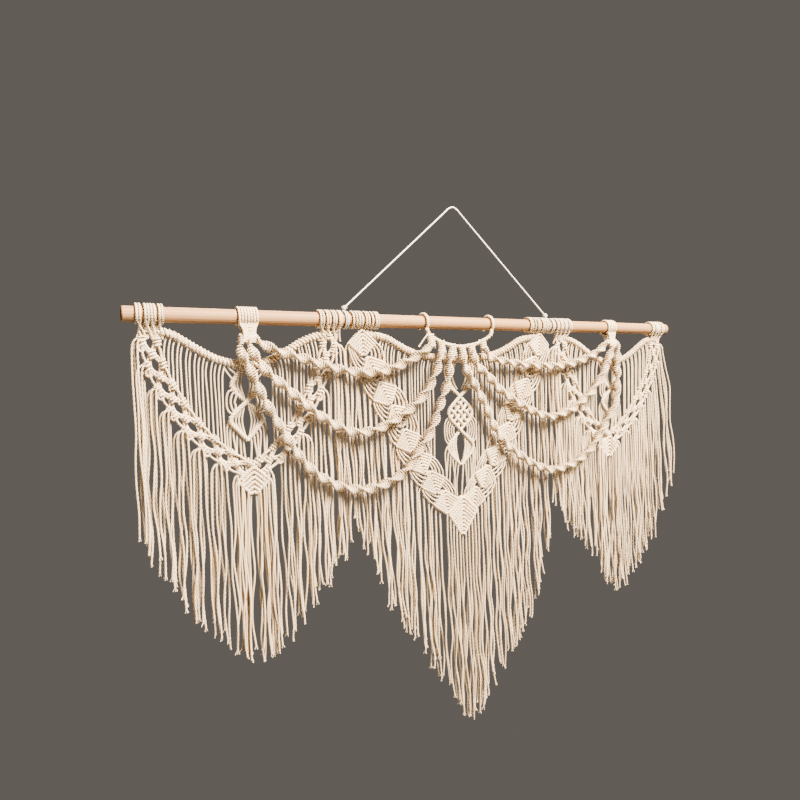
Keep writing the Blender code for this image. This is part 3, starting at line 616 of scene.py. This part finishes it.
def knotted_band(yarn, table, cells, outside):
    """A band of cords that part round a slit, cross and meet in knots, cell after cell.

    It returns the place and the direction of the knots on its outside edge.
    """
    route = Route([place(x, z) for x, z in table])

    def spot(cell, aside, front=0.0):
        centre, down = route.at(cell / cells)
        across = Vector((-down.z, 0.0, down.x))
        return centre + aside * across * MM + front * MM * FRONT

    steps = [k / BAND_STEPS for k in range(BAND_STEPS * cells + 1)]
    steps = [(cell, math.pi * (cell - 0.25)) for cell in steps]
    for way in (1.0, -1.0):
        for lane in (-1.7, 1.7):
            points = []
            for cell, turn in steps:
                aside = way * BAND_SWING * math.sin(turn) + lane
                points.append(spot(cell, aside, way * 1.6 * math.cos(turn)))
            yarn.lay(points, BAND_CORD, smooth=2)
        for front in (-1.6, 1.6):
            points = []
            for cell, turn in steps:
                points.append(spot(cell, way * (BAND_EDGE + 1.1 * math.cos(2 * turn)), front))
            yarn.lay(points, BAND_CORD - 0.2, smooth=2)
    outer_knots = []
    for cell in range(cells):
        knot(yarn, [spot(cell + 0.25 + d, 0.0) for d in (-0.20, 0.0, 0.20)], half_wide=4.6)
        for way in (1.0, -1.0):
            side_knot = [spot(cell + 0.75 + d, way * 9.2) for d in (-0.22, 0.0, 0.22)]
            knot(yarn, side_knot, half_wide=4.1)
        yarn.lay([spot(cell + d, outside * aside, 1.0) for d, aside in CURL], BAND_CORD + 0.8)
        ahead = route.at((cell + 0.6) / cells)[1]
        outer_knots.append((spot(cell + 0.60, outside * 11.0), ahead))
    return outer_knots


SWAY = 5.5  # of a strand's tip to either side
STRAND_BEND = 34.0  # from one soft bend of a strand to the next
FRAYS = 3
FRAY_CORD = 1.5


def hang(yarn, root, x, tip, y, thick=FRINGE_CORD, drift=0.0, part=0.0, swing=3.0):
    """A strand of the fringe: out of its root in a soft curve, and down to its frayed tip.

    It hangs at x from a little below its root, and parts from there by so many mm. Its tip
    drifts off, and it swings to and fro on its way down.
    """
    rx, rz = root
    over = x - rx
    drop = 9.0 + 0.95 * abs(over)
    points = [place(rx, rz, 0.4 * y), place(rx + 0.45 * over, rz - 0.10 * drop, 0.8 * y)]
    points.append(place(rx + 0.84 * over, rz - 0.42 * drop, y))
    fall = rz - drop
    sway = DICE.uniform(-SWAY, SWAY) + drift
    phase = DICE.uniform(0.0, math.tau)
    swing *= DICE.uniform(0.3, 1.0)
    bends = max(2, round((fall - tip) / STRAND_BEND))
    for k in range(bends + 1):
        share = k / bends
        wave = swing * math.sin(phase + 1.7 * k) * min(1.0, 2.5 * share)
        aback = 1.3 * math.sin(1.3 * phase + 1.9 * k) * min(1.0, 2.0 * share)
        wave += part * min(1.0, 4.0 * share)
        points.append(place(x + sway * share**1.3 + wave, fall + (tip - fall) * share, y + aback))
    yarn.lay(points, thick + DICE.uniform(-0.25, 0.15), smooth=4)
    last, ahead = points[-1], (points[-1] - points[-2]).normalized()
    for _ in range(FRAYS):
        fray = Vector((DICE.uniform(-1.3, 1.3), DICE.uniform(-1.0, 1.0), 0.0)) * MM
        end = last + 2.2 * fray + 3.5 * ahead * MM
        yarn.lay([last - 3.0 * ahead * MM, last + fray, end], FRAY_CORD, tone=1.0)


def table_place(point):
    """x and z of a point in metres, before the lean, in the tables' millimetres."""
    z = point.z / MM + AXIS_BELOW
    return point.x / MM + LEAN * min(z, 0.0), z


FRINGE_LAYERS = (-3.4, 3.6)  # y


def bunches(yarn, knots, sign, hem, slant, flare=0.0, first=3):
    """A bunch of strands out of each knot: beside it, or below it where the band lies flat.

    The first bunch has its own number of strands, and the flare spreads the outermost.
    """
    spots = [table_place(centre) for centre, _ in knots]
    for k, (x, z) in enumerate(spots):
        steep = min(1.0, max(0.0, (abs(knots[k][1].z) - 0.62) / 0.35))
        step = abs(spots[min(k + 1, len(spots) - 1)][0] - x) or 20.0
        count = first if k == 0 else min(7, max(4, round(step / FRINGE_SPACING)))
        spread = max(1.0, step / (FRINGE_SPACING * count))
        for j in range(count):
            near = (j - (count - 1) / 2) * FRINGE_SPACING
            out = sign * (6.5 * steep + 0.5)
            root = (x + sign * min(1.5, max(-1.5, near)), z - 0.4 * abs(j - 1.0))
            below = x + out + sign * near
            tip_x = x + out + sign * spread * near
            fan = sign * flare * max(0.0, 1.0 - (k + (count - 1 - j) / count) / 5.0) ** 2
            tip = looked_up(hem, tip_x) + DICE.uniform(-14.0, 12.0)
            y = FRINGE_LAYERS[(k + j) % 2] + DICE.uniform(-0.6, 0.6)
            drift = 0.5 * fan + slant * (z - tip)
            hang(yarn, root, below, tip, y, drift=drift, part=tip_x - below + 0.5 * fan)


RIDGE_PARTS = (-1.0, -0.7, -0.35, -0.08, 0.08, 0.35, 0.7, 1.0)  # of its arms, left to right


def leaf(yarn, top, down, wide, drop, long, ridges, thick, deep=1.8):
    """A leaf of nested chevrons of hitched cord, one set in front and one behind.

    Its arms run out from the middle to this width and drop, and get shorter over its
    length. A cord down each side closes them. It returns the outer ends of the arms on the
    left and on the right.
    """
    across = Vector((-down.z, 0.0, down.x))
    ends = {-1.0: [], 1.0: []}
    for face in (1.0, -1.0):
        for k in range(ridges):
            share = k / ridges
            apex = top + long * share * down * MM
            reach = 1.0 - share
            points = []
            for part in RIDGE_PARTS:
                lift = face * (deep + 1.2 * reach * (1.0 - abs(part)))
                arm = reach * (part * wide * across + abs(part) * drop * down)
                points.append(apex + (arm + lift * FRONT) * MM)
            yarn.lay(points, thick, bumps=0.16, smooth=3)
            if face > 0:
                for way in ends:
                    ends[way].append(apex + reach * (way * wide * across + drop * down) * MM)
    for side_ends in ends.values():
        yarn.lay([end + 1.6 * MM * FRONT for end in side_ends], thick, bumps=0.16)
    return ends


def curtain_cord(yarn, x, top, foot, way, y):
    """A straight cord of a curtain, which leaves its bar in a hook bowed to one side."""
    points = [(x + 5.5 * way, top + 2.5), (x + 3.0 * way, top - 5.0), (x + 0.8 * way, top - 14.0)]
    if top - foot > 40.0:
        points.append((x - 0.3 * way, top - 26.0))
    points.append((x + DICE.uniform(-1.2, 1.2), (top + foot) / 2 - 8.0))
    points.append((x + DICE.uniform(-1.0, 1.5), foot))
    yarn.lay([place(x, z, y) for x, z in points], FINE_CORD)


def hitch_down(yarn, xs, sign, foot):
    """The cords below a group of turns, which cross each other on their way to the foot."""
    middle = sum(xs) / len(xs)
    for k, x in enumerate(xs):
        way = (1.0, -1.0)[k % 2]
        low = middle + 0.75 * (x - middle) + 5.0 * way
        points = [place(sign * x, -8.0, -9.5)]
        points.append(place(sign * (0.6 * x + 0.4 * low), -15.0, -5.5))
        points.append(place(sign * low, foot, -1.0 - 1.2 * way))
        points.append(place(sign * (low + 2.0 * way), foot - 7.0, 0.0))
        yarn.lay(points, TURN_CORD - 0.4)


def panel_turn(yarn, x):
    """One turn of a panel's cord round the dowel, not quite square to it."""
    turn_round(yarn, x, TURN_REACH, TURN_CORD, slant=DICE.uniform(-0.8, 0.8), gap=TURN_GAP)


def beside(centre, way, points, y=0.0):
    """Points of a motif round its centre, mirrored where way is -1."""
    return [place(centre + way * x, z, y) for x, z in points]


for side, sign in (("left", -1), ("right", 1)):
    node = "panel_" + side
    hem, slant = SIDE_HEM[sign], DRIFT[sign]

    turns = Yarn()
    for xs in SIDE_TURNS.values():
        for x in xs:
            panel_turn(turns, -sign * x)
        hitch_down(turns, xs, -sign, -24.0)
    fit(turns.solid(side + "_turns", cotton), "cotton", node)

    bar = Yarn()
    hitched_bar(bar, Route([place(x, z) for x, z in mirrored(SIDE_BAR, sign)]))
    fit(bar.solid(side + "_bar", cotton), "cotton", node)

    bands = Yarn()
    outer = knotted_band(bands, mirrored(OUTER_BAND, sign), cells=8, outside=sign)
    inner = knotted_band(bands, mirrored(INNER_BAND, sign), cells=7, outside=-sign)
    fit(bands.solid(side + "_bands", cotton), "cotton", node)

    curtain = Yarn()
    bar_line = rising(SIDE_BAR, sign)
    outer_line = rising(OUTER_BAND, sign)
    inner_line = rising(INNER_BAND, sign)
    for k in range(CURTAIN_CORDS):
        x = CURTAIN_FROM + CURTAIN_SPACING * k + DICE.uniform(-0.6, 0.6)
        if CURTAIN_OPENING[0] < x < CURTAIN_OPENING[1]:
            continue
        near = x < -LEAF_AT
        x *= -sign
        top = looked_up(bar_line, x) - 3.0
        foot = looked_up(outer_line if near else inner_line, x)
        if top - foot < 20.0:
            continue
        way = -sign if near else sign
        curtain_cord(curtain, x, top, foot + 6.0, way, (1.0, -1.0)[k % 2])
    fit(curtain.solid(side + "_curtain", cotton), "cotton", node)

    crest = Yarn()
    top = place(sign * LEAF_AT, SIDE_LEAF_TOP)
    ends = leaf(crest, top, DOWN, wide=22.0, drop=19.0, long=41.0, ridges=6, thick=5.2)
    for way, roots in ends.items():
        for k, root in enumerate(roots + roots[2:5]):
            x, z = table_place(root)
            out = x + way * (3.4 - 0.6 * k if k < len(roots) else 0.6)
            tip = looked_up(hem, out) + DICE.uniform(-12.0, 12.0)
            y = (-3.6, 1.0)[k % 2] if k < len(roots) else 4.6
            hang(crest, (x, z + 1.0), out, tip, y, drift=slant * (z - tip))
    fit(crest.solid(side + "_leaf", cotton), "cotton", node)

    fringe = Yarn()
    bunches(fringe, outer, sign, hem, slant, flare=SIDE_FLARE[sign])
    bunches(fringe, inner, -sign, hem, slant, first=6)
    fringe = fringe.solid(side + "_fringe", cotton, step=FRINGE_STEP, lay=FRINGE_LAY)
    fit(fringe, "cotton", node)

    motif = Yarn()
    centre = sign * MOTIF_AT
    for way in (-1.0, 1.0):
        motif.lay(beside(centre, way, SIDE_CROSS, -1.6 * way), 6.6, bumps=0.16)
        for apex, foot in SIDE_DIAMONDS:
            for k in range(4):
                out, shift = 2.5 + 4.0 * k, 2.0 + 4.6 * k
                rib = [(out, apex - shift), (6.6 + 4.4 * k, (apex + foot) / 2), (out, foot + shift)]
                motif.lay(beside(centre, way, rib, 1.0), FINE_CORD + 0.1)
        for k in range(3):
            start, end = (27.0 - 6.0 * k, -62.0), (14.5 - 4.5 * k, -87.0 + 5.0 * k)
            arch = [start, (start[0] + 0.5, -69.0), (end[0] + 6.0 - k, end[1] + 7.0), end]
            motif.lay(beside(centre, way, arch, 1.4), FINE_CORD + 0.3)
        for k in range(3):
            reach, top, foot = 27.0 - 5.4 * k, -98.0 - 3.0 * k, -133.0 + 2.6 * k
            bow = [(13, top), (reach - 3, top - 3), (reach, -115), (reach - 2, foot + 6), (17, foot)]
            motif.lay(beside(centre, way, bow), FINE_CORD + 0.6)
        for x in SIDE_TAILS:
            root = (centre + way * 0.8 * x, -167.0 + 1.05 * x)
            tip = -207.0 + 0.4 * x
            hang(motif, root, centre + way * (x + 2.0), tip, 1.5, FINE_CORD + 0.6, swing=1.0)
    fit(motif.solid(side + "_motif", cotton), "cotton", node)

# Middle panel: the same cotton cord. Two chains of leaves meet in a V over a large chevron,
# with arcs from leaf to leaf, an openwork motif inside the V, and the longest fringe.

MIDDLE_TURNS = (147.0, 151.0, 157.0, 163.0, 167.0, 174.0, 178.0, 183.0, 188.0)
MIDDLE_BAR = (
    (-164, -19), (-130, -26), (-110, -36), (-82, -48), (-50, -54), (0, -58),
    (50, -54), (82, -48), (110, -36), (130, -26), (164, -19),
)  # fmt: skip
LEAF_CHAIN = (
    (-172, -12), (-170, -36), (-153, -74), (-136, -108), (-116, -142), (-97, -180),
    (-74, -214), (-48, -249), (-20, -285), (-4, -300),
)  # fmt: skip
LEAVES = 8
LEAF_WIDE = 21.5
LEAF_DROP = 20.0
LEAF_LONG = 41.0
LEAF_LAYERS = (2.0, 7.4)  # y of the strands that hang from the leaves
MIDDLE_HEM = (
    (-195, -303), (-178, -334), (-159, -379), (-133, -449), (-117, -475), (-85, -507),
    (-67, -546), (-35, -586), (-15, -629), (-4, -654), (10, -657), (35, -636), (60, -604),
    (80, -584), (100, -566), (122, -533), (146, -497), (165, -455), (180, -405),
    (192, -350), (202, -305),
)  # fmt: skip
CHEVRON_AT = (4.0, -284.0, -1.5)  # x, z, y of its apex
MIDDLE_CURTAIN_CORDS = 23
MIDDLE_CURTAIN_FROM = 148.0  # from the middle to its outermost cords
MIDDLE_CURTAIN_SPACING = 5.3
MIDDLE_OPENING = (-46.0, 28.0)  # left and right edge, over the motif
MIDDLE_MOTIF_AT = 4.0
MIDDLE_CROSS = (
    (6, -62), (16, -80), (21, -99), (0, -118), (-24, -146), (0, -175), (24, -202), (0, -232)
)  # fmt: skip
MIDDLE_TAILS = (4.0, 9.0, 14.0, 19.0, 24.0, 29.0)


def notch_arcs(yarn, upper_ends, top, down, way):
    """Nested arcs from the arm ends of one leaf round to the upper side of the next."""
    across = Vector((-down.z, 0.0, down.x)) * way
    corner = top + (LEAF_WIDE * across + LEAF_DROP * down) * MM
    for j, a in enumerate(upper_ends[:4]):
        b = corner.lerp(top, 0.06 + 0.24 * j)
        out = across * (4.6 - 0.9 * j) * MM + (2.0 - 0.7 * j) * MM * FRONT
        yarn.lay([a, a.lerp(b, 0.28) + out, a.lerp(b, 0.72) + out, b], 3.3)


turns = Yarn()
for sign in (-1, 1):
    for x in MIDDLE_TURNS:
        panel_turn(turns, sign * x)
fit(turns.solid("middle_turns", cotton), "cotton", "panel_center")

bar = Yarn()
hitched_bar(bar, Route([place(x, z) for x, z in MIDDLE_BAR]))
fit(bar.solid("middle_bar", cotton), "cotton", "panel_center")

leaves = Yarn()
fringe = Yarn()
curtain = Yarn()
bar_line = sorted(MIDDLE_BAR)
top = place(*CHEVRON_AT)
chevron_ends = leaf(leaves, top, DOWN, wide=28.0, drop=25.0, long=66.0, ridges=10, thick=5.6)
for sign in (-1, 1):
    chain = Route([place(x, z) for x, z in mirrored(LEAF_CHAIN, sign)])
    before = None
    for k in range(LEAVES):
        top, ahead = chain.at((k + 0.04) / LEAVES)
        ahead = ahead.lerp(DOWN, max(0.0, 0.18 * (k - 3))).normalized()
        if before:
            for way in (-1.0, 1.0):
                notch_arcs(leaves, before[way], top, ahead, way)
        before = leaf(
            leaves, top, ahead, LEAF_WIDE, LEAF_DROP, LEAF_LONG, ridges=7, thick=4.6, deep=2.4
        )
        # The strands that leave the lower side of each leaf, outside the chain.
        for j, root in enumerate(before[sign][:6]):
            x, z = table_place(root)
            out = x + sign * (5.0 - 0.6 * j)
            tip = looked_up(MIDDLE_HEM, out) + DICE.uniform(-14.0, 14.0)
            root = (x - sign * 2.0, z + 1.0)
            hang(fringe, root, out, tip, LEAF_LAYERS[j % 2], drift=DRIFT[0] * (z - tip))
    for k, root in enumerate(chevron_ends[sign]):
        x, z = table_place(root)
        out = x + sign * (2.6 - 0.26 * k)
        tip = looked_up(MIDDLE_HEM, x) + DICE.uniform(-12.0, 12.0)
        hang(fringe, (x, z + 1.0), out, tip, (-3.0, 2.0)[k % 2], drift=DRIFT[0] * (z - tip))
    chain_line = rising(LEAF_CHAIN, sign)
    for k in range(MIDDLE_CURTAIN_CORDS):
        x = sign * (MIDDLE_CURTAIN_FROM - MIDDLE_CURTAIN_SPACING * k + DICE.uniform(-0.6, 0.6))
        if MIDDLE_OPENING[0] < x < MIDDLE_OPENING[1]:
            continue
        top = looked_up(bar_line, x) - 3.0
        foot = looked_up(chain_line, x) + 12.0
        if top - foot < 14.0:
            continue
        curtain_cord(curtain, x, top, foot, -sign, 1.6 + (1.0, -1.0)[k % 2])
fit(leaves.solid("middle_leaves", cotton), "cotton", "panel_center")
fringe = fringe.solid("middle_fringe", cotton, step=FRINGE_STEP, lay=FRINGE_LAY)
fit(fringe, "cotton", "panel_center")
fit(curtain.solid("middle_curtain", cotton), "cotton", "panel_center")

motif = Yarn()
centre = MIDDLE_MOTIF_AT
for way in (-1.0, 1.0):
    motif.lay(beside(centre, way, MIDDLE_CROSS, -1.6 * way), 6.0, bumps=0.14)
    for k in range(3):
        start, end = (-6.0 - 6.2 * k, -125.0 - 7.0 * k), (18.5 - 6.2 * k, -153.0 - 7.0 * k)
        run = []
        for j in range(5):
            over = way * (1.5, -1.5)[(j + k) % 2]
            x, z = (start[i] + (end[i] - start[i]) * j / 4 for i in (0, 1))
            run.append(place(centre + way * x, z, over))
        motif.lay(run, 5.4, bumps=0.16)
    for k in range(5):
        out, reach, top, foot = 20 - 2 * k, 30.0 - 4.0 * k, -150.0 - 3.2 * k, -200.0 + 3.4 * k
        bow = [(out, top), (reach, top - 12.0), (reach, foot + 12.0), (out, foot)]
        motif.lay(beside(centre, way, bow), FINE_CORD + 0.2)
    for k in range(3):
        arch = [(24.0 - 5.5 * k, -60.0), (28.0 - 6.0 * k, -76.0)]
        arch += [(23.0 - 6.0 * k, -96.0), (15.0 - 5.0 * k, -107.0)]
        motif.lay(beside(centre, way, arch, 1.6), 3.8, bumps=0.12)
        rib = [(8.5 + 4.2 * k, -184.0 - 4 * k), (9.5 + 4.4 * k, -203.0)]
        rib += [(5.0 + 4.2 * k, -225.0 + 5 * k)]
        motif.lay(beside(centre, way, rib, 1.0), 4.2, bumps=0.12)
    for x in MIDDLE_TAILS:
        root = (centre + way * 0.7 * x, -229.0 + 1.05 * x)
        hang(motif, root, centre + way * (x + 1.0), -292.0 + 0.5 * x, 1.5, FINE_CORD + 0.4)
fit(motif.solid("middle_motif", cotton), "cotton", "panel_center")

# Garlands: three spiral-knotted ropes from each holder of tight turns, which hang in
# front of the panels and end behind the swag.

HOLDER_TURNS = {  # x of the turns
    -1: (-355.5, -351.5, -347.5, -343.5, -339.5, -335.5, -331.5),
    1: (332.5, 337.0, 341.5, 346.0, 350.5),
}
GARLANDS = {  # x, z, y of the ropes on the left and on the right
    -1: (
        (
            (-339, -24, -8), (-327, -36, -12), (-303, -47, -15), (-262, -59, -15),
            (-225, -70, -15), (-185, -77, -15), (-145, -76, -15), (-105, -63, -16),
            (-80, -49, -20), (-61, -36, -21),
        ),
        (
            (-345, -23, -9), (-341, -47, -16), (-325, -72, -17), (-300, -94, -16),
            (-270, -119, -15), (-240, -143, -15), (-207, -161, -15), (-185, -166, -15),
            (-154, -162, -15), (-118, -146, -15), (-88, -127, -15), (-66, -104, -16),
            (-54, -80, -19), (-48, -62, -21), (-43, -44, -21),
        ),
        (
            (-351, -24, -8), (-356, -45, -13), (-346, -70, -17), (-327, -113, -16),
            (-302, -158, -15), (-273, -203, -15), (-238, -234, -15), (-200, -249, -15),
            (-165, -251, -15), (-130, -241, -15), (-104, -225, -15), (-86, -201, -15),
            (-70, -183, -15), (-55, -157, -15), (-44, -131, -15), (-34, -105, -16),
            (-29, -82, -19), (-28, -58, -21), (-24, -45, -21),
        ),
    ),
    1: (
        (
            (339, -24, -8), (319, -34, -13), (294, -49, -15), (248, -64, -15), (221, -69, -15),
            (190, -71, -15), (142, -69, -15), (102, -65, -15), (60, -59, -19), (46, -50, -21),
            (40, -39, -21),
        ),
        (
            (345, -23, -9), (338, -42, -15), (326, -57, -16), (315, -80, -16),
            (301, -101, -15), (286, -118, -15), (259, -135, -15), (236, -149, -15),
            (213, -155, -15), (188, -160, -15), (155, -153, -15), (118, -135, -15),
            (87, -118, -15), (67, -103, -15), (49, -86, -17), (22, -66, -21), (18, -43, -21),
        ),
        (
            (351, -24, -8), (355, -45, -13), (348, -72, -16), (351, -91, -15),
            (349, -110, -15), (348, -126, -15), (343, -145, -15), (331, -164, -15),
            (315, -184, -15), (299, -204, -15), (284, -221, -15), (264, -235, -15),
            (241, -246, -15), (215, -252, -15), (184, -254, -15), (146, -241, -15),
            (116, -223, -15), (86, -201, -15), (60, -168, -15), (44, -135, -15),
            (28, -109, -15), (19, -94, -16), (6, -78, -19), (-3, -60, -21), (-2, -45, -21),
        ),
    ),
}  # fmt: skip
ROPE_CORE = 4.6
ROPE_CORD = 3.1  # of the two cords that are knotted round the core
BULGE = 27.0  # from one flat side of a garland to the next
HOLDER_CORD = 4.2
HOLDER_GAP = 30.0
HOLDER_NECK = {-1: 2.0, 1: 0.0}  # x of the collar from the middle of the turns

for side, sign in (("left", -1), ("right", 1)):
    node = "garlands_" + side
    holder = Yarn()
    turns = HOLDER_TURNS[sign]
    middle = sum(turns) / len(turns) + HOLDER_NECK[sign]
    for x in turns:
        turn_round(holder, x, TURN_REACH, HOLDER_CORD, gap=HOLDER_GAP, tone=0.9)
        low = middle + 0.62 * (x - middle)
        front = [place(x, -8.0, -9.5), place(0.5 * (x + low), -13.0, -10.0)]
        front += [place(low, -19.0, -10.5), place(low, -28.0, -12.0), place(low, -34.0, -11.0)]
        holder.lay(front, HOLDER_CORD, tone=0.9)
        back = [place(x, -8.0, 9.5), place(low, -16.0, 3.0), place(low, -30.0, -2.0)]
        holder.lay(back, HOLDER_CORD, tone=0.7)
    collar = Route([place(middle, -13.0, -4.5), place(middle, -31.0, -6.0)])
    coil(holder, collar, half_wide=8.2, half_deep=6.6, pitch=4.2, thick=HOLDER_CORD)
    fit(holder.solid(side + "_holder", cotton), "cotton", node)

    ropes = Yarn()
    for table in GARLANDS[sign]:
        route = Route([place(x, z, y) for x, z, y in table])
        ropes.lay(route.points, ROPE_CORE, smooth=0, tone=0.2)
        for start in (0.0, math.pi):
            coil(
                ropes, route, half_wide=7.1, half_deep=2.0, pitch=7.4, thick=ROPE_CORD,
                start=start, flip=BULGE, taper=14.0, square=0.7,
            )  # fmt: skip
    fit(ropes.solid(side + "_garlands", cotton, step=2.5), "cotton", node)

# Swag: a cord looped over the dowel twice, with a row of knots below it that the
# garlands' ends hang from.

SWAG = (
    (-63, -11), (-58, -20), (-44, -28), (-28, -34), (0, -38), (28, -34), (44, -28),
    (58, -20), (63, -11),
)  # fmt: skip
SWAG_IN_FRONT = -11.0
SWAG_LOOP = 63.0  # x of its loops round the dowel
SWAG_LINK = ((SWAG_LOOP, -9.0, -9.0), (62.0, -14.0, -10.5), (59.0, -20.0, -11.0))  # x, z, y
SWAG_KNOTS = (-57.0, -38.0, -17.0, 2.0, 20.0, 43.0)
KNOT_DROPS = (-1.0, 5.0, 12.0, 19.0)  # below the swag
SWAG_TAIL = ((-60, -16, -13), (-70, -27, -13), (-79, -39, -12))  # x, z, y

swag = Yarn()
route = Route([place(x, z, SWAG_IN_FRONT) for x, z in SWAG])
swag.lay(route.points, 5.4, smooth=0)
coil(swag, route, half_wide=2.2, half_deep=2.2, pitch=5.2, thick=3.4)
for sign in (-1, 1):
    turn_round(swag, sign * SWAG_LOOP, 12.9, 6.0, slant=3.0)
    swag.lay([place(sign * x, z, y) for x, z, y in SWAG_LINK], 6.6)
for x in SWAG_KNOTS:
    z = looked_up(SWAG, x)
    column = [place(x, z - drop, SWAG_IN_FRONT - 0.3 * max(0.0, drop)) for drop in KNOT_DROPS]
    for start in (0.0, math.pi):
        coil(
            swag, Route(column), half_wide=5.3, half_deep=2.8, pitch=7.4, thick=3.5,
            start=start, square=0.75,
        )  # fmt: skip
    swag.lay(column, 6.0, tone=0.2)
swag.lay([place(x, z, y) for x, z, y in SWAG_TAIL], 3.2, tip=1.2)
fit(swag.solid("swag", cotton), "cotton", "center_swag")

# Studio: a pale floor well below the fringe, a large soft lamp in front and above, a weak
# one from the left, one from behind, and an even grey all round.

GREY_BEHIND = (0.142, 0.129, 0.117)  # what the camera sees
GREY_LIGHT = (0.020, 0.020, 0.021)  # what lights the cords
FLOOR_PALE = (0.7, 0.69, 0.67, 1.0)
FLOOR_RADIUS = 2.2
FLOOR_AT = -2.6
FLOOR_SIDES = 96
floor_mesh = bpy.data.meshes.new("floor")
rim = [math.tau * k / FLOOR_SIDES for k in range(FLOOR_SIDES)]
rim = [(FLOOR_RADIUS * math.cos(a), FLOOR_RADIUS * math.sin(a), FLOOR_AT) for a in rim]
floor_mesh.from_pydata(rim, [], [tuple(range(FLOOR_SIDES))])
floor = bpy.data.objects.new("floor", floor_mesh)
bpy.context.scene.collection.objects.link(floor)
floor_finish = bpy.data.materials.new("pale floor")
floor_finish.use_nodes = True
floor_shader = floor_finish.node_tree.nodes["Principled BSDF"]
floor_shader.inputs["Base Color"].default_value = FLOOR_PALE
floor_shader.inputs["Roughness"].default_value = 0.8
floor_mesh.materials.append(floor_finish)

world = bpy.data.worlds.new("studio")
world.use_nodes = True
backdrop = world.node_tree.nodes["Background"]
seen = world.node_tree.nodes.new("ShaderNodeLightPath").outputs["Is Camera Ray"]
greys = put(
    world.node_tree, "ShaderNodeMix", {"data_type": "RGBA"},
    {"Factor": seen, "A": (*GREY_LIGHT, 1.0), "B": (*GREY_BEHIND, 1.0)},
)  # fmt: skip
world.node_tree.links.new(greys.outputs["Result"], backdrop.inputs["Color"])
bpy.context.scene.world = world
bpy.context.scene.view_settings.look = "AgX - High Contrast"

LAMP_COLOUR = (1.0, 0.92, 0.82)
LAMPS_AIM_AT = Vector((0.0, 0.0, -0.4))
LAMPS = (  # name, place, size, watts
    ("key", (0.4, -1.7, 1.45), 1.0, 285.0),
    ("fill", (-1.7, -1.6, -0.3), 1.6, 10.0),
    ("back", (0.3, 2.0, 0.8), 1.8, 75.0),
)
for name, at, size, power in LAMPS:
    lamp_data = bpy.data.lights.new(name, "AREA")
    lamp_data.shape = "SQUARE"
    lamp_data.size = size
    lamp_data.energy = power
    lamp_data.color = LAMP_COLOUR
    lamp = bpy.data.objects.new(name, lamp_data)
    lamp.location = at
    lamp.rotation_euler = (LAMPS_AIM_AT - Vector(at)).to_track_quat("-Z", "Y").to_euler()
    bpy.context.scene.collection.objects.link(lamp)

bpy.context.view_layer.update()
